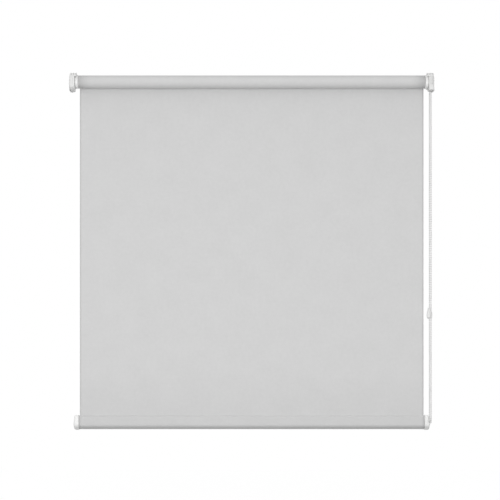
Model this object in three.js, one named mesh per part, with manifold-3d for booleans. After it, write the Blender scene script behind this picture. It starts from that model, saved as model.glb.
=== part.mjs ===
// Blackout roller blind with a bead chain at the right-hand side.
// Millimetres. +X right, +Y towards the wall, +Z up.
// Origin: on the wall plane, midway between the brackets, level with the roller's axis.

import * as THREE from "three";
import { mergeVertices } from "three/addons/utils/BufferGeometryUtils.js";
import Module from "manifold-3d";

const wasm = await Module();
wasm.setup();

// Clearances
const seatGap = 0.3;
const runGap = 0.7;
const flangeAir = 1.5;
const cutOver = 2;

// Cloth
const clothWidth = 922;
const clothDrop = 893;
const clothThickness = 0.45;
const woundThickness = 3.6;

// Tube
const axisToWall = 34;
const tubeRadius = 14;
const tubeWall = 1;
const keyWidth = 2.4;
const keyHeight = 1.5;

// End plugs
const plugDepth = 28;
const plugEndWall = 3;
const flangeThickness = 6.1;
const flangeChamfer = 0.8;
const driveFlangeProud = 0.6;
const idleFlangeProud = 0.1;

// Bead chain
const beadDiameter = 4.5;
const beadPitch = 6;
const chainCordDiameter = 1.5;
const beadSides = 5;
const seatedStrandPitches = 1.5;

// Chain wheel and its wrap-spring clutch
const pocketCount = 12;
const pocketClearance = 0.35;
const wheelWidth = 9.2;
const wheelLip = 1.5;
const wheelLipWidth = 1.3;
const grooveDepth = 1.1;
const sleeveWall = 1.4;
const sleeveSlotWidth = 6;
const spindleShare = 0.4;
const tenonShare = 0.75;
const spindleBoreRadius = 1.6;
const spindleBoreDepth = 20;
const clutchWire = 1.2;
const clutchPitch = 2.1;
const clutchTurns = 5;
const clipThickness = 1;
const clipProud = 1.6;
const clipGrooveDepth = 1.3;
const clipGap = 4;

// Spindle screw
const screwShankRadius = 1.25;
const screwHeadRadius = 4.8;
const screwHeadHeight = 1.8;
const screwLength = 16;
const screwSlotWidth = 1.1;
const screwSlotDepth = 0.8;

// Idle pin and its spring
const pinRadius = 4;
const pinEngagement = 5;
const pinTipChamfer = 1;
const pinCollarRadius = 6.1;
const pinCollarWidth = 2;
const pinTailRadius = 3.2;
const pinTailLength = 8;
const pinSpringWire = 1;
const pinSpringRadius = 4.7;
const pinSpringTurns = 5;
const collarInset = 15;
const bushWall = 3.6;

// Brackets
const frontReach = 23;
const bracketDrop = 24.4;
const bracketFrontTopRadius = 6;
const controlFrontBottomShare = 0.12;
const idleFrontBottomShare = 0.45;
const housingBackBottomShare = 0.64;
const bracketBackTopRadius = 2;
const bracketBackBottomRadius = 8;
const plateThickness = 2;
const topPlateThickness = 1.8;
const backPlateThickness = 2;
const topPlateInset = 1.2;
const topPlateCornerRadius = 6;
const backPlateInset = 3.8;
const backPlateShoulder = 12.5;
const backPlateLowerInset = 15.2;
const slotWidth = 5;
const slotLength = 12;
const edgeNotchWidth = 1.6;
const edgeNotchDepth = 1.2;
const pegRadius = 1.6;
const pegLength = 1.6;

// Bearing housings that fill the brackets
const housingWall = 1.7;
const housingRim = 1.5;
const housingFrontInset = 0.6;
const idleHousingInset = 5.3;
const chainSlotClearance = 1.6;
const chainSlotHeight = 21.6;
const recessWidth = 4;
const recessDepth = 0.8;
const recessAbove = 11;
const recessBelow = 8;
const keeperClearance = 0.6;
const keeperThickness = 1.2;
const screwHeadRoom = 3;
const screwHeadMargin = 2.5;

// Snap covers
const coverDepth = 3.9;
const coverWall = 1.5;
const coverRoundingShare = 0.38;
const coverCornerShare = 0.15;

// Bottom bar
const barHeight = 35.5;
const barThickness = 12;
const barBehindCloth = 3.2;
const barTopRadius = 4;
const barNoseHeight = 13;
const barWall = 1.2;
const wrapThickness = 0.45;
const wrapOverhang = 3.3;
const slotDepth = 5.7;
const splineThickness = 0.5;
const splineRecess = 1.6;

// Bottom bar caps
const capDome = 12.4;
const capProudHigh = 1.8;
const capProudDeep = 0.5;
const capRounding = 5.2;
const tongueLength = 15;

// Chain connector
const connectorHeight = 28.8;
const connectorWidth = 15.2;
const connectorDepth = 8.4;
const connectorZ = -617.4;
const connectorSplit = 0.3;
const channelClearance = 0.35;
const mouthWidth = 9;
const mouthHeight = 6.5;

// Facets
const fineSides = 32;
const coarseSides = 16;
const arcSteps = 4;
const coilSteps = 8;
const plugSides = 24;
const hexSides = 6;
const boreSides = 12;
const wireSides = 5;
const pocketSides = 8;
const pocketRings = 6;

// Worked out from the sizes above
const axisY = -axisToWall;
const clothHalf = clothWidth / 2;
const rollRadius = tubeRadius + woundThickness;
const driveFlangeRadius = rollRadius + driveFlangeProud;
const idleFlangeRadius = rollRadius + idleFlangeProud;
const clothPlane = axisY + rollRadius + seatGap + clothThickness / 2;
const tubeBore = tubeRadius - tubeWall;
const plugRadius = tubeBore - seatGap;
const plugInner = clothHalf - plugDepth;
const flangeInner = clothHalf + seatGap;
const flangeOuter = flangeInner + flangeThickness;
const spindleRadius = tubeRadius * spindleShare;
const tenonRadius = spindleRadius * tenonShare;
const clutchSeat = spindleRadius + seatGap + clutchWire / 2;
const clutchRadius = clutchSeat / Math.cos(Math.PI / coilSteps);
const sleeveBore = clutchRadius + clutchWire / 2 + seatGap;
const sleeveRadius = sleeveBore + sleeveWall;
const clipRadius = spindleRadius + clipProud;
const housingInner = flangeOuter + flangeAir;
const wheelInner = housingInner + housingWall + runGap;
const wheelOuter = wheelInner + wheelWidth;
const chainX = wheelInner + wheelWidth / 2;
const plateInner = wheelOuter + runGap;
const plateOuter = plateInner + plateThickness;
const housingOuter = plateInner - seatGap;
const idleHousingInner = housingInner + idleHousingInset;
const coverInner = plateOuter + seatGap;
const pitchRadius = beadPitch / (2 * Math.sin(Math.PI / pocketCount));
const beadRadius = beadDiameter / 2;
const strandBack = axisY + pitchRadius;
const topPlateUnder = driveFlangeRadius + runGap;
const bracketTop = topPlateUnder + topPlateThickness;
const bracketFront = axisY - frontReach;
const bracketHeight = bracketTop + bracketDrop;
const coverRounding = bracketHeight * coverRoundingShare;
const barTop = -clothDrop;
const barBottom = barTop - barHeight;
const barY = clothPlane + barBehindCloth;
const barHalf = clothHalf + wrapOverhang;
const capInner = barHalf + seatGap;
const slotFloor = barTop - slotDepth;

// The free loop of chain, from the wheel's back strand down and up to its front strand
const chainRoute = [
  [475.9, -22.41, -9.15],
  [475.9, -22.41, -60],
  [475.9, -22.41, -150],
  [475.9, -22.41, -300],
  [475.9, -22.41, -450],
  [475.9, -22.41, -600],
  [475.9, -22.41, -750],
  [475.9, -22.41, -860],
  [475.9, -22.41, -896.8],
  [475.9, -23.29, -901.24],
  [475.9, -25.8, -905],
  [475.9, -29.56, -907.51],
  [475.9, -34, -908.39],
  [475.9, -38.44, -907.51],
  [475.9, -42.2, -905],
  [475.9, -44.71, -901.24],
  [475.9, -45.59, -896.8],
  [475.9, -45.59, -860],
  [475.9, -45.59, -750],
  [475.9, -45.59, -600],
  [475.9, -45.59, -450],
  [475.9, -45.59, -300],
  [475.9, -45.59, -150],
  [475.9, -45.59, -60],
  [475.9, -45.59, -9.15],
];

// Materials
const clothFinish = new THREE.MeshStandardMaterial({ color: 0xcfcfcf, roughness: 0.92 });
const whitePlastic = new THREE.MeshStandardMaterial({ color: 0xeeeeec, roughness: 0.42 });
const innerPlastic = new THREE.MeshStandardMaterial({ color: 0xe2e2e0, roughness: 0.5 });
const beadPlastic = new THREE.MeshStandardMaterial({ color: 0xe6e6e4, roughness: 0.4 });
const aluminium = new THREE.MeshStandardMaterial({ color: 0xc4c6c8, roughness: 0.35, metalness: 1 });
const steel = new THREE.MeshStandardMaterial({ color: 0x9a9da1, roughness: 0.3, metalness: 1 });

const blind = new THREE.Group();

// A closed geometry as a solid with its faces pointing out
function solidOf(geometry) {
  const flat = geometry.clone();
  flat.deleteAttribute("normal");
  flat.deleteAttribute("uv");
  const merged = mergeVertices(flat, 1e-4);
  const build = (triVerts) =>
    new wasm.Manifold(
      new wasm.Mesh({
        numProp: 3,
        vertProperties: new Float32Array(merged.attributes.position.array),
        triVerts,
      }),
    );
  const triangles = new Uint32Array(merged.index.array);
  const made = build(triangles);
  if (made.volume() > 0) return made;
  for (let i = 0; i < triangles.length; i += 3) {
    [triangles[i + 1], triangles[i + 2]] = [triangles[i + 2], triangles[i + 1]];
  }
  return build(triangles);
}

function geometryOf(solid) {
  const made = solid.getMesh();
  const positions = new Float32Array(made.numVert * 3);
  for (let i = 0; i < made.numVert; i++) {
    positions.set(made.vertProperties.subarray(i * made.numProp, i * made.numProp + 3), i * 3);
  }
  const geometry = new THREE.BufferGeometry();
  geometry.setAttribute("position", new THREE.BufferAttribute(positions, 3));
  geometry.setIndex(new THREE.BufferAttribute(new Uint32Array(made.triVerts), 1));
  return geometry;
}

function addPiece(name, solid, material) {
  const flatShaded = geometryOf(solid).toNonIndexed();
  flatShaded.computeVertexNormals();
  const mesh = new THREE.Mesh(flatShaded, material);
  mesh.name = name;
  blind.add(mesh);
}

// The same solid on the other side of the blind
function mirrored(solid) {
  return solidOf(geometryOf(solid).scale(-1, 1, 1));
}

// Outline points in (Y, Z), swept along X
function alongX(points, fromX, toX, holes = []) {
  const shape = new THREE.Shape(points);
  shape.holes = holes.map((hole) => new THREE.Path(hole));
  const swept = new THREE.ExtrudeGeometry(shape, { depth: toX - fromX, bevelEnabled: false });
  const turn = new THREE.Matrix4().makeBasis(
    new THREE.Vector3(0, 1, 0),
    new THREE.Vector3(0, 0, 1),
    new THREE.Vector3(1, 0, 0),
  );
  return solidOf(swept.applyMatrix4(turn).translate(fromX, 0, 0));
}

// Outline points in (X, Z), swept along Y
function alongY(points, fromY, toY) {
  const shape = new THREE.Shape(points);
  const swept = new THREE.ExtrudeGeometry(shape, { depth: toY - fromY, bevelEnabled: false });
  return solidOf(swept.rotateX(Math.PI / 2).translate(0, toY, 0));
}

// Outline points in (X, Y), swept along Z
function alongZ(points, fromZ, toZ) {
  const shape = new THREE.Shape(points);
  const swept = new THREE.ExtrudeGeometry(shape, { depth: toZ - fromZ, bevelEnabled: false });
  return solidOf(swept.translate(0, 0, fromZ));
}

function box(low, high) {
  const size = high.map((value, i) => value - low[i]);
  const centre = high.map((value, i) => (value + low[i]) / 2);
  return solidOf(new THREE.BoxGeometry(...size).translate(...centre));
}

// Profile of [x, radius] pairs turned about the roller's axis
function turned(profile, sides = fineSides) {
  const points = profile.map(([x, radius]) => new THREE.Vector2(radius, x));
  const lathe = new THREE.LatheGeometry(points, sides);
  return solidOf(lathe.rotateZ(-Math.PI / 2).translate(0, axisY, 0));
}

function rod(fromX, toX, radius, sides = coarseSides) {
  return turned(
    [
      [fromX, 0],
      [fromX, radius],
      [toX, radius],
      [toX, 0],
    ],
    sides,
  );
}

function circle(radius, sides, y = axisY, z = 0) {
  const points = [];
  for (let i = 0; i < sides; i++) {
    const angle = (2 * Math.PI * i) / sides;
    points.push(new THREE.Vector2(y + radius * Math.cos(angle), z + radius * Math.sin(angle)));
  }
  return points;
}

// Rings of equal point counts, joined in turn and closed at both ends
function loft(rings) {
  const count = rings[0].length;
  const positions = [];
  const index = [];
  for (const ring of rings) {
    for (const point of ring) positions.push(point.x, point.y, point.z);
  }
  for (let r = 0; r + 1 < rings.length; r++) {
    for (let i = 0; i < count; i++) {
      const a = r * count + i;
      const b = r * count + ((i + 1) % count);
      index.push(a, b, b + count, a, b + count, a + count);
    }
  }
  const closeEnd = (ring, start, flip) => {
    const centre = ring.reduce((sum, point) => sum.add(point), new THREE.Vector3());
    centre.divideScalar(count);
    const hub = positions.length / 3;
    positions.push(centre.x, centre.y, centre.z);
    for (let i = 0; i < count; i++) {
      const a = start + i;
      const b = start + ((i + 1) % count);
      index.push(...(flip ? [hub, b, a] : [hub, a, b]));
    }
  };
  closeEnd(rings[0], 0, true);
  closeEnd(rings.at(-1), (rings.length - 1) * count, false);
  const geometry = new THREE.BufferGeometry();
  geometry.setAttribute("position", new THREE.Float32BufferAttribute(positions, 3));
  geometry.setIndex(index);
  return solidOf(geometry);
}

// A tube whose radius may change from ring to ring; sidewaysAt gives a direction across it
function sweptTube(points, radiusAt, sides, sidewaysAt) {
  const rings = points.map((point, i) => {
    const before = points[Math.max(i - 1, 0)];
    const after = points[Math.min(i + 1, points.length - 1)];
    const forward = after.clone().sub(before).normalize();
    const up = forward.clone().cross(sidewaysAt(i)).normalize();
    const across = up.clone().cross(forward);
    const ring = [];
    for (let k = 0; k < sides; k++) {
      const angle = (2 * Math.PI * k) / sides;
      const offset = across.clone().multiplyScalar(Math.cos(angle) * radiusAt(i));
      offset.addScaledVector(up, Math.sin(angle) * radiusAt(i));
      ring.push(point.clone().add(offset));
    }
    return ring;
  });
  return loft(rings);
}

// A round-wire spring about the roller's axis
function coilSpring(fromX, pitch, turns, meanRadius, wire) {
  const points = [];
  const angles = [];
  for (let i = 0; i <= turns * coilSteps; i++) {
    const angle = (2 * Math.PI * i) / coilSteps;
    angles.push(angle);
    points.push(
      new THREE.Vector3(
        fromX + wire / 2 + (pitch * i) / coilSteps,
        axisY + meanRadius * Math.cos(angle),
        meanRadius * Math.sin(angle),
      ),
    );
  }
  const outward = (i) => new THREE.Vector3(0, Math.cos(angles[i]), Math.sin(angles[i]));
  return sweptTube(points, () => wire / 2, wireSides, outward);
}

// The bracket's side outline: square to wall and ceiling, with its own rounding below the front
function bracketOutline(edges, frontBottomShare, inset = 0) {
  const back = edges.back - inset;
  const front = edges.front + inset;
  const top = edges.top - inset;
  const bottom = edges.bottom + inset;
  const leastRadius = coverWall / 4 + inset * coverCornerShare;
  const frontBottom = bracketHeight * frontBottomShare;
  const corners = [
    { sideY: -1, sideZ: -1, y: back, z: top, radius: bracketBackTopRadius, start: 0 },
    { sideY: 1, sideZ: -1, y: front, z: top, radius: bracketFrontTopRadius, start: 1 },
    { sideY: 1, sideZ: 1, y: front, z: bottom, radius: frontBottom, start: 2 },
    { sideY: -1, sideZ: 1, y: back, z: bottom, radius: edges.backBottom, start: 3 },
  ];
  const points = [];
  for (const corner of corners) {
    const radius = Math.max(corner.radius - inset, leastRadius);
    const centreY = corner.y + corner.sideY * radius;
    const centreZ = corner.z + corner.sideZ * radius;
    for (let i = 0; i <= arcSteps; i++) {
      const angle = (Math.PI / 2) * (corner.start + i / arcSteps);
      points.push(
        new THREE.Vector2(centreY + radius * Math.cos(angle), centreZ + radius * Math.sin(angle)),
      );
    }
  }
  return points;
}

const plateEdges = {
  back: 0,
  front: bracketFront,
  top: bracketTop,
  bottom: -bracketDrop,
  backBottom: bracketBackBottomRadius,
};
const housingEdges = {
  back: -backPlateThickness - seatGap,
  front: bracketFront + housingFrontInset,
  top: topPlateUnder - seatGap,
  bottom: -bracketDrop + housingFrontInset,
  backBottom: bracketHeight * housingBackBottomShare,
};

// Places of the two snap pegs of a cover, on the plate's middle line
const pegPlaces = [
  [axisY / 2 + slotWidth, bracketTop / 2],
  [axisY / 2 + slotWidth, -bracketDrop / 2],
];

// Middles of the screw slots, as shares of the bracket's reach and height
const topSlotShares = [0.27, 0.76];
const backSlotShares = [0.244, 0.605];

function slotOutline(middleX, middleOther, margin = 0) {
  const reach = (slotLength - slotWidth) / 2;
  const radius = slotWidth / 2 + margin;
  const points = [];
  for (const [side, start] of [
    [1, -Math.PI / 2],
    [-1, Math.PI / 2],
  ]) {
    for (let i = 0; i <= arcSteps; i++) {
      const angle = start + (Math.PI * i) / arcSteps;
      const x = middleX + side * reach + radius * Math.cos(angle);
      points.push(new THREE.Vector2(x, middleOther + radius * Math.sin(angle)));
    }
  }
  return points;
}

const slotX = (flangeInner + backPlateInset + plateInner) / 2 - seatGap;
const topSlotsY = topSlotShares.map((share) => bracketFront * share);
const backSlotsZ = backSlotShares.map((share) => bracketTop - share * bracketHeight);

// Side plate, wall plate and ceiling plate of the right-hand bracket
function bracketSolid(frontBottomShare) {
  const outline = bracketOutline(plateEdges, frontBottomShare);
  let plate = alongX(outline, plateInner, plateOuter);
  const wallInner = flangeInner + backPlateInset;
  const wallLower = flangeInner + backPlateLowerInset;
  const wallPoints = [
    [wallInner, bracketTop],
    [wallInner, -bracketDrop + backPlateShoulder],
    [wallLower, -bracketDrop + backPlateShoulder],
    [wallLower, -bracketDrop + bracketBackBottomRadius],
    [plateOuter, -bracketDrop + bracketBackBottomRadius],
    [plateOuter, bracketTop],
  ].map(([x, z]) => new THREE.Vector2(x, z));
  plate = plate.add(alongY(wallPoints, -backPlateThickness, 0));
  const topInner = flangeInner + topPlateInset;
  const topPoints = [
    new THREE.Vector2(plateOuter - seatGap, bracketFront + bracketFrontTopRadius),
    new THREE.Vector2(plateOuter - seatGap, 0),
    new THREE.Vector2(topInner, 0),
  ];
  for (let i = 0; i <= arcSteps; i++) {
    const angle = Math.PI + (Math.PI / 2) * (i / arcSteps);
    topPoints.push(
      new THREE.Vector2(
        topInner + topPlateCornerRadius * (1 + Math.cos(angle)),
        bracketFront + topPlateCornerRadius * (1 + Math.sin(angle)),
      ),
    );
  }
  topPoints.push(new THREE.Vector2(plateInner, bracketFront));
  let topPlate = alongZ(topPoints, topPlateUnder, bracketTop);
  const notchSpan = plateInner - topInner - topPlateCornerRadius;
  for (const share of [0, 1 / 2, 1]) {
    const middle = topInner + topPlateCornerRadius + share * (notchSpan - edgeNotchWidth);
    const low = [middle, bracketFront - cutOver, topPlateUnder - cutOver];
    const high = [middle + edgeNotchWidth, bracketFront + edgeNotchDepth, bracketTop + cutOver];
    topPlate = topPlate.subtract(box(low, high));
  }
  plate = plate.add(topPlate);
  for (const y of topSlotsY) {
    const from = topPlateUnder - cutOver;
    plate = plate.subtract(alongZ(slotOutline(slotX, y), from, bracketTop + cutOver));
  }
  for (const z of backSlotsZ) {
    plate = plate.subtract(alongY(slotOutline(slotX, z), -backPlateThickness - cutOver, cutOver));
  }
  for (const [y, z] of pegPlaces) {
    const hole = circle(pegRadius + seatGap, coarseSides / 2, y, z);
    plate = plate.subtract(alongX(hole, plateInner - cutOver, plateOuter + cutOver));
  }
  return plate;
}

// Domed snap cover on the outside of the right-hand bracket
function coverSolid(frontBottomShare) {
  const dome = (inset, from, depth) => {
    const rings = [];
    const steps = arcSteps;
    rings.push(ringAt(from, inset));
    for (let i = 0; i <= steps; i++) {
      const angle = (Math.PI / 2) * (i / steps);
      const x = coverInner + depth * Math.sin(angle);
      if (x > from) rings.push(ringAt(x, inset + coverRounding * (1 - Math.cos(angle))));
    }
    return loft(rings);
  };
  const ringAt = (x, inset) =>
    bracketOutline(plateEdges, frontBottomShare, inset).map(
      (point) => new THREE.Vector3(x, point.x, point.y),
    );
  let cover = dome(0, coverInner, coverDepth);
  cover = cover.subtract(dome(coverWall, coverInner - cutOver, coverDepth - coverWall));
  for (const [y, z] of pegPlaces) {
    const from = coverInner - pegLength;
    const to = coverInner + coverDepth - coverWall / 2;
    cover = cover.add(alongX(circle(pegRadius, coarseSides / 2, y, z), from, to));
  }
  return cover;
}

// Bearing housing in the bracket: a shallow cup, open towards the side plate
function housingSolid(inner, frontBottomShare) {
  const outline = bracketOutline(housingEdges, frontBottomShare);
  const shell = alongX(outline, inner, housingOuter);
  const hollow = bracketOutline(housingEdges, frontBottomShare, housingRim);
  const mouth = housingOuter + cutOver;
  let housing = shell.subtract(alongX(hollow, inner + housingWall, mouth));
  const roomTop = housingEdges.top - screwHeadRoom;
  for (const y of topSlotsY) {
    const pocket = alongZ(slotOutline(slotX, y, screwHeadMargin), roomTop, bracketTop);
    housing = housing.subtract(pocket);
  }
  const roomBack = housingEdges.back - screwHeadRoom;
  for (const z of backSlotsZ) {
    housing = housing.subtract(alongY(slotOutline(slotX, z, screwHeadMargin), roomBack, 0));
  }
  return housing;
}

// Control side: bracket, cover and chain guard
function addControlBracket() {
  const tenonHole = rod(plateInner - cutOver, plateOuter + cutOver, tenonRadius + seatGap, hexSides);
  const bracket = bracketSolid(controlFrontBottomShare);
  addPiece("control_bracket", bracket.subtract(tenonHole), whitePlastic);
  addPiece("control_cover", coverSolid(controlFrontBottomShare), whitePlastic);

  let guard = housingSolid(housingInner, controlFrontBottomShare);
  const sleeveHole = sleeveRadius + runGap;
  guard = guard.subtract(rod(housingInner - cutOver, housingInner + housingWall + cutOver, sleeveHole));
  const keeperInner = pitchRadius + beadRadius + keeperClearance;
  const keeper = turned([
    [housingInner + housingWall / 2, keeperInner],
    [housingOuter, keeperInner],
    [housingOuter, keeperInner + keeperThickness],
    [housingInner + housingWall / 2, keeperInner + keeperThickness],
    [housingInner + housingWall / 2, keeperInner],
  ]);
  const keeperReach = keeperInner + keeperThickness + cutOver;
  const upperHalf = box(
    [housingInner, axisY - keeperReach, pitchRadius / 2],
    [housingOuter + cutOver, axisY + keeperReach, keeperReach],
  );
  guard = guard.add(keeper.intersect(upperHalf));
  const slotHalfX = beadRadius + chainSlotClearance;
  const slotHalfY = pitchRadius + beadRadius + chainSlotClearance;
  const chainExit = box(
    [chainX - slotHalfX, axisY - slotHalfY, -bracketDrop - cutOver],
    [chainX + slotHalfX, axisY + slotHalfY, -bracketDrop + chainSlotHeight],
  );
  guard = guard.subtract(chainExit);
  const recess = box(
    [chainX, bracketFront, -recessBelow],
    [chainX + recessWidth, bracketFront + housingFrontInset + recessDepth, recessAbove],
  );
  addPiece("chain_guard", guard.subtract(recess), whitePlastic);
}

// Fixed spindle, its screw and its retaining clip
const spindleInner = plugInner + plugEndWall + clipGap / 4;
const clipInner = spindleInner + clipGap / 4;

function addSpindle() {
  const grooveRadius = spindleRadius - clipGrooveDepth;
  let spindle = turned(
    [
      [spindleInner, 0],
      [spindleInner, spindleRadius],
      [clipInner - seatGap, spindleRadius],
      [clipInner - seatGap, grooveRadius],
      [clipInner + clipThickness + seatGap, grooveRadius],
      [clipInner + clipThickness + seatGap, spindleRadius],
      [plateInner - seatGap, spindleRadius],
      [plateInner - seatGap, 0],
    ],
    coarseSides,
  );
  spindle = spindle.add(rod(plateInner - seatGap - cutOver, plateOuter, tenonRadius, hexSides));
  const boreEnd = plateOuter + cutOver;
  spindle = spindle.subtract(rod(plateOuter - spindleBoreDepth, boreEnd, spindleBoreRadius, boreSides));
  addPiece("drive_spindle", spindle, innerPlastic);

  const clipBore = grooveRadius + seatGap;
  let clip = turned(
    [
      [clipInner, clipBore],
      [clipInner, clipRadius],
      [clipInner + clipThickness, clipRadius],
      [clipInner + clipThickness, clipBore],
      [clipInner, clipBore],
    ],
    coarseSides,
  );
  const clipMouth = box(
    [clipInner - cutOver, axisY - clipGap / 2, 0],
    [clipInner + clipThickness + cutOver, axisY + clipGap / 2, clipRadius + cutOver],
  );
  clip = clip.subtract(clipMouth);
  addPiece("spindle_clip", clip, steel);

  const headInner = plateOuter + seatGap;
  let screw = turned(
    [
      [headInner - screwLength, 0],
      [headInner - screwLength, screwShankRadius],
      [headInner, screwShankRadius],
      [headInner, screwHeadRadius],
      [headInner + screwHeadHeight / 2, screwHeadRadius],
      [headInner + screwHeadHeight, screwHeadRadius - screwHeadHeight / 2],
      [headInner + screwHeadHeight, 0],
    ],
    coarseSides,
  );
  const slotFrom = headInner + screwHeadHeight - screwSlotDepth;
  for (const turnedSlot of [false, true]) {
    const reach = screwHeadRadius / 2;
    const halfY = turnedSlot ? screwSlotWidth / 2 : reach;
    const halfZ = turnedSlot ? reach : screwSlotWidth / 2;
    const slot = box(
      [slotFrom, axisY - halfY, -halfZ],
      [headInner + screwHeadHeight + cutOver, axisY + halfY, halfZ],
    );
    screw = screw.subtract(slot);
  }
  addPiece("spindle_screw", screw, steel);
}

// Chain wheel with a round pocket for each bead, and the sleeve that works the clutch springs
function addChainWheel() {
  const bore = spindleRadius + seatGap;
  const sleeveEnd = plugInner + plugEndWall + clipGap;
  const lipRadius = pitchRadius + wheelLip;
  const grooveRadius = pitchRadius - grooveDepth;
  const profile = [
    [sleeveEnd, sleeveBore],
    [sleeveEnd, sleeveRadius],
    [wheelInner, sleeveRadius],
    [wheelInner, lipRadius - wheelLip / 2],
    [wheelInner + wheelLip / 2, lipRadius],
    [wheelInner + wheelLipWidth, lipRadius],
    [chainX - chainCordDiameter, grooveRadius],
    [chainX + chainCordDiameter, grooveRadius],
    [wheelOuter - wheelLipWidth, lipRadius],
    [wheelOuter - wheelLip / 2, lipRadius],
    [wheelOuter, lipRadius - wheelLip / 2],
    [wheelOuter, bore],
    [wheelInner + wheelLipWidth, bore],
    [wheelInner + wheelLipWidth, sleeveBore],
    [sleeveEnd, sleeveBore],
  ];
  let wheel = turned(profile, 2 * pocketCount);
  const pocketRadius = beadRadius + pocketClearance;
  for (let i = 0; i < pocketCount; i++) {
    const angle = (2 * Math.PI * i) / pocketCount;
    const pocket = new THREE.SphereGeometry(pocketRadius, pocketSides, pocketRings);
    pocket.rotateZ(-Math.PI / 2);
    pocket.translate(
      chainX,
      axisY + pitchRadius * Math.cos(angle),
      pitchRadius * Math.sin(angle),
    );
    wheel = wheel.subtract(solidOf(pocket));
  }
  const tangSlot = box(
    [sleeveEnd - cutOver, axisY - sleeveSlotWidth / 2, 0],
    [flangeInner, axisY + sleeveSlotWidth / 2, sleeveRadius + cutOver],
  );
  addPiece("chain_wheel", wheel.subtract(tangSlot), innerPlastic);

  const springLength = clutchPitch * clutchTurns + clutchWire;
  const firstSpring = sleeveEnd + seatGap;
  const secondSpring = firstSpring + springLength + runGap;
  const starts = { clutch_spring_inner: firstSpring, clutch_spring_outer: secondSpring };
  for (const [name, from] of Object.entries(starts)) {
    addPiece(name, coilSpring(from, clutchPitch, clutchTurns, clutchRadius, clutchWire), steel);
  }
}

// Keyed plug that fits a tube end, with the bore profile of its own side
function plugSolid(flangeRadius, boreProfile) {
  const profile = [
    [plugInner, plugRadius - flangeChamfer],
    [plugInner + flangeChamfer, plugRadius],
    [flangeInner, plugRadius],
    [flangeInner, flangeRadius],
    [flangeOuter - flangeChamfer, flangeRadius],
    [flangeOuter, flangeRadius - flangeChamfer],
    ...boreProfile,
    [plugInner, plugRadius - flangeChamfer],
  ];
  let plug = turned(profile, plugSides);
  const halfWidth = keyWidth / 2 + seatGap;
  const grooveFloor = tubeBore - keyHeight - seatGap;
  for (const side of [-1, 1]) {
    const ends = [side * grooveFloor, side * (plugRadius + cutOver)].sort((a, b) => a - b);
    const groove = box(
      [plugInner - cutOver, axisY - halfWidth, ends[0]],
      [flangeInner, axisY + halfWidth, ends[1]],
    );
    plug = plug.subtract(groove);
  }
  return plug;
}

function addPlugs() {
  const driveBore = sleeveRadius + seatGap;
  const tailHole = pinTailRadius + seatGap;
  const drive = plugSolid(driveFlangeRadius, [
    [flangeOuter, driveBore],
    [plugInner + plugEndWall, driveBore],
    [plugInner + plugEndWall, tailHole],
    [plugInner, tailHole],
  ]);
  addPiece("drive_plug", drive, whitePlastic);

  const pinBore = pinRadius + seatGap;
  const chamber = pinCollarRadius + seatGap;
  const shoulder = flangeOuter - collarInset - seatGap;
  const idle = plugSolid(idleFlangeRadius, [
    [flangeOuter, pinBore],
    [shoulder, pinBore],
    [shoulder, chamber],
    [plugInner + plugEndWall, chamber],
    [plugInner + plugEndWall, tailHole],
    [plugInner, tailHole],
  ]);
  addPiece("idle_plug", mirrored(idle), whitePlastic);
}

// Sprung pin of the idle end, drawn on the right and mirrored to the left
function addIdlePin() {
  const tip = idleHousingInner + pinEngagement;
  const collarOuter = flangeOuter - collarInset - 2 * seatGap;
  const collarInner = collarOuter - pinCollarWidth;
  const tailEnd = collarInner - pinTailLength;
  const pin = turned(
    [
      [tailEnd, 0],
      [tailEnd, pinTailRadius],
      [collarInner, pinTailRadius],
      [collarInner, pinCollarRadius],
      [collarOuter, pinCollarRadius],
      [collarOuter, pinRadius],
      [tip - pinTipChamfer, pinRadius],
      [tip, pinRadius - pinTipChamfer],
      [tip, 0],
    ],
    coarseSides,
  );
  addPiece("idle_pin", mirrored(pin), steel);
  const springFrom = plugInner + plugEndWall + seatGap;
  const room = collarInner - seatGap - springFrom - pinSpringWire;
  const pitch = room / pinSpringTurns;
  const spring = coilSpring(springFrom, pitch, pinSpringTurns, pinSpringRadius, pinSpringWire);
  addPiece("pin_spring", mirrored(spring), steel);
}

// Idle side: bracket, cover and the housing that holds the pin
function addIdleBracket() {
  addPiece("idle_bracket", mirrored(bracketSolid(idleFrontBottomShare)), whitePlastic);
  addPiece("idle_cover", mirrored(coverSolid(idleFrontBottomShare)), whitePlastic);
  const boss = rod(idleHousingInner, housingOuter, pinRadius + bushWall);
  const socketEnd = idleHousingInner + pinEngagement + runGap;
  const socket = rod(idleHousingInner - cutOver, socketEnd, pinRadius + seatGap);
  const housing = housingSolid(idleHousingInner, idleFrontBottomShare).add(boss);
  addPiece("idle_housing", mirrored(housing.subtract(socket)), whitePlastic);
}

// Aluminium tube with two keys, and the cloth wound on it
function addRoller() {
  const inner = circle(tubeBore, fineSides).reverse();
  let tube = alongX(circle(tubeRadius, fineSides), -clothHalf, clothHalf, [inner]);
  for (const side of [-1, 1]) {
    const ends = [side * (tubeBore - keyHeight), side * (tubeBore + tubeWall / 2)];
    ends.sort((a, b) => a - b);
    const key = box(
      [-clothHalf, axisY - keyWidth / 2, ends[0]],
      [clothHalf, axisY + keyWidth / 2, ends[1]],
    );
    tube = tube.add(key);
  }
  addPiece("roller_tube", tube, aluminium);

  const outer = [];
  for (let i = 0; i <= fineSides; i++) {
    const share = i / fineSides;
    const angle = 2 * Math.PI * share;
    const radius = rollRadius - clothThickness * share;
    outer.push(new THREE.Vector2(axisY + radius * Math.cos(angle), radius * Math.sin(angle)));
  }
  const core = circle(tubeRadius + seatGap, fineSides).reverse();
  addPiece("fabric_roll", alongX(outer, -clothHalf, clothHalf, [core]), clothFinish);
}

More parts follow.
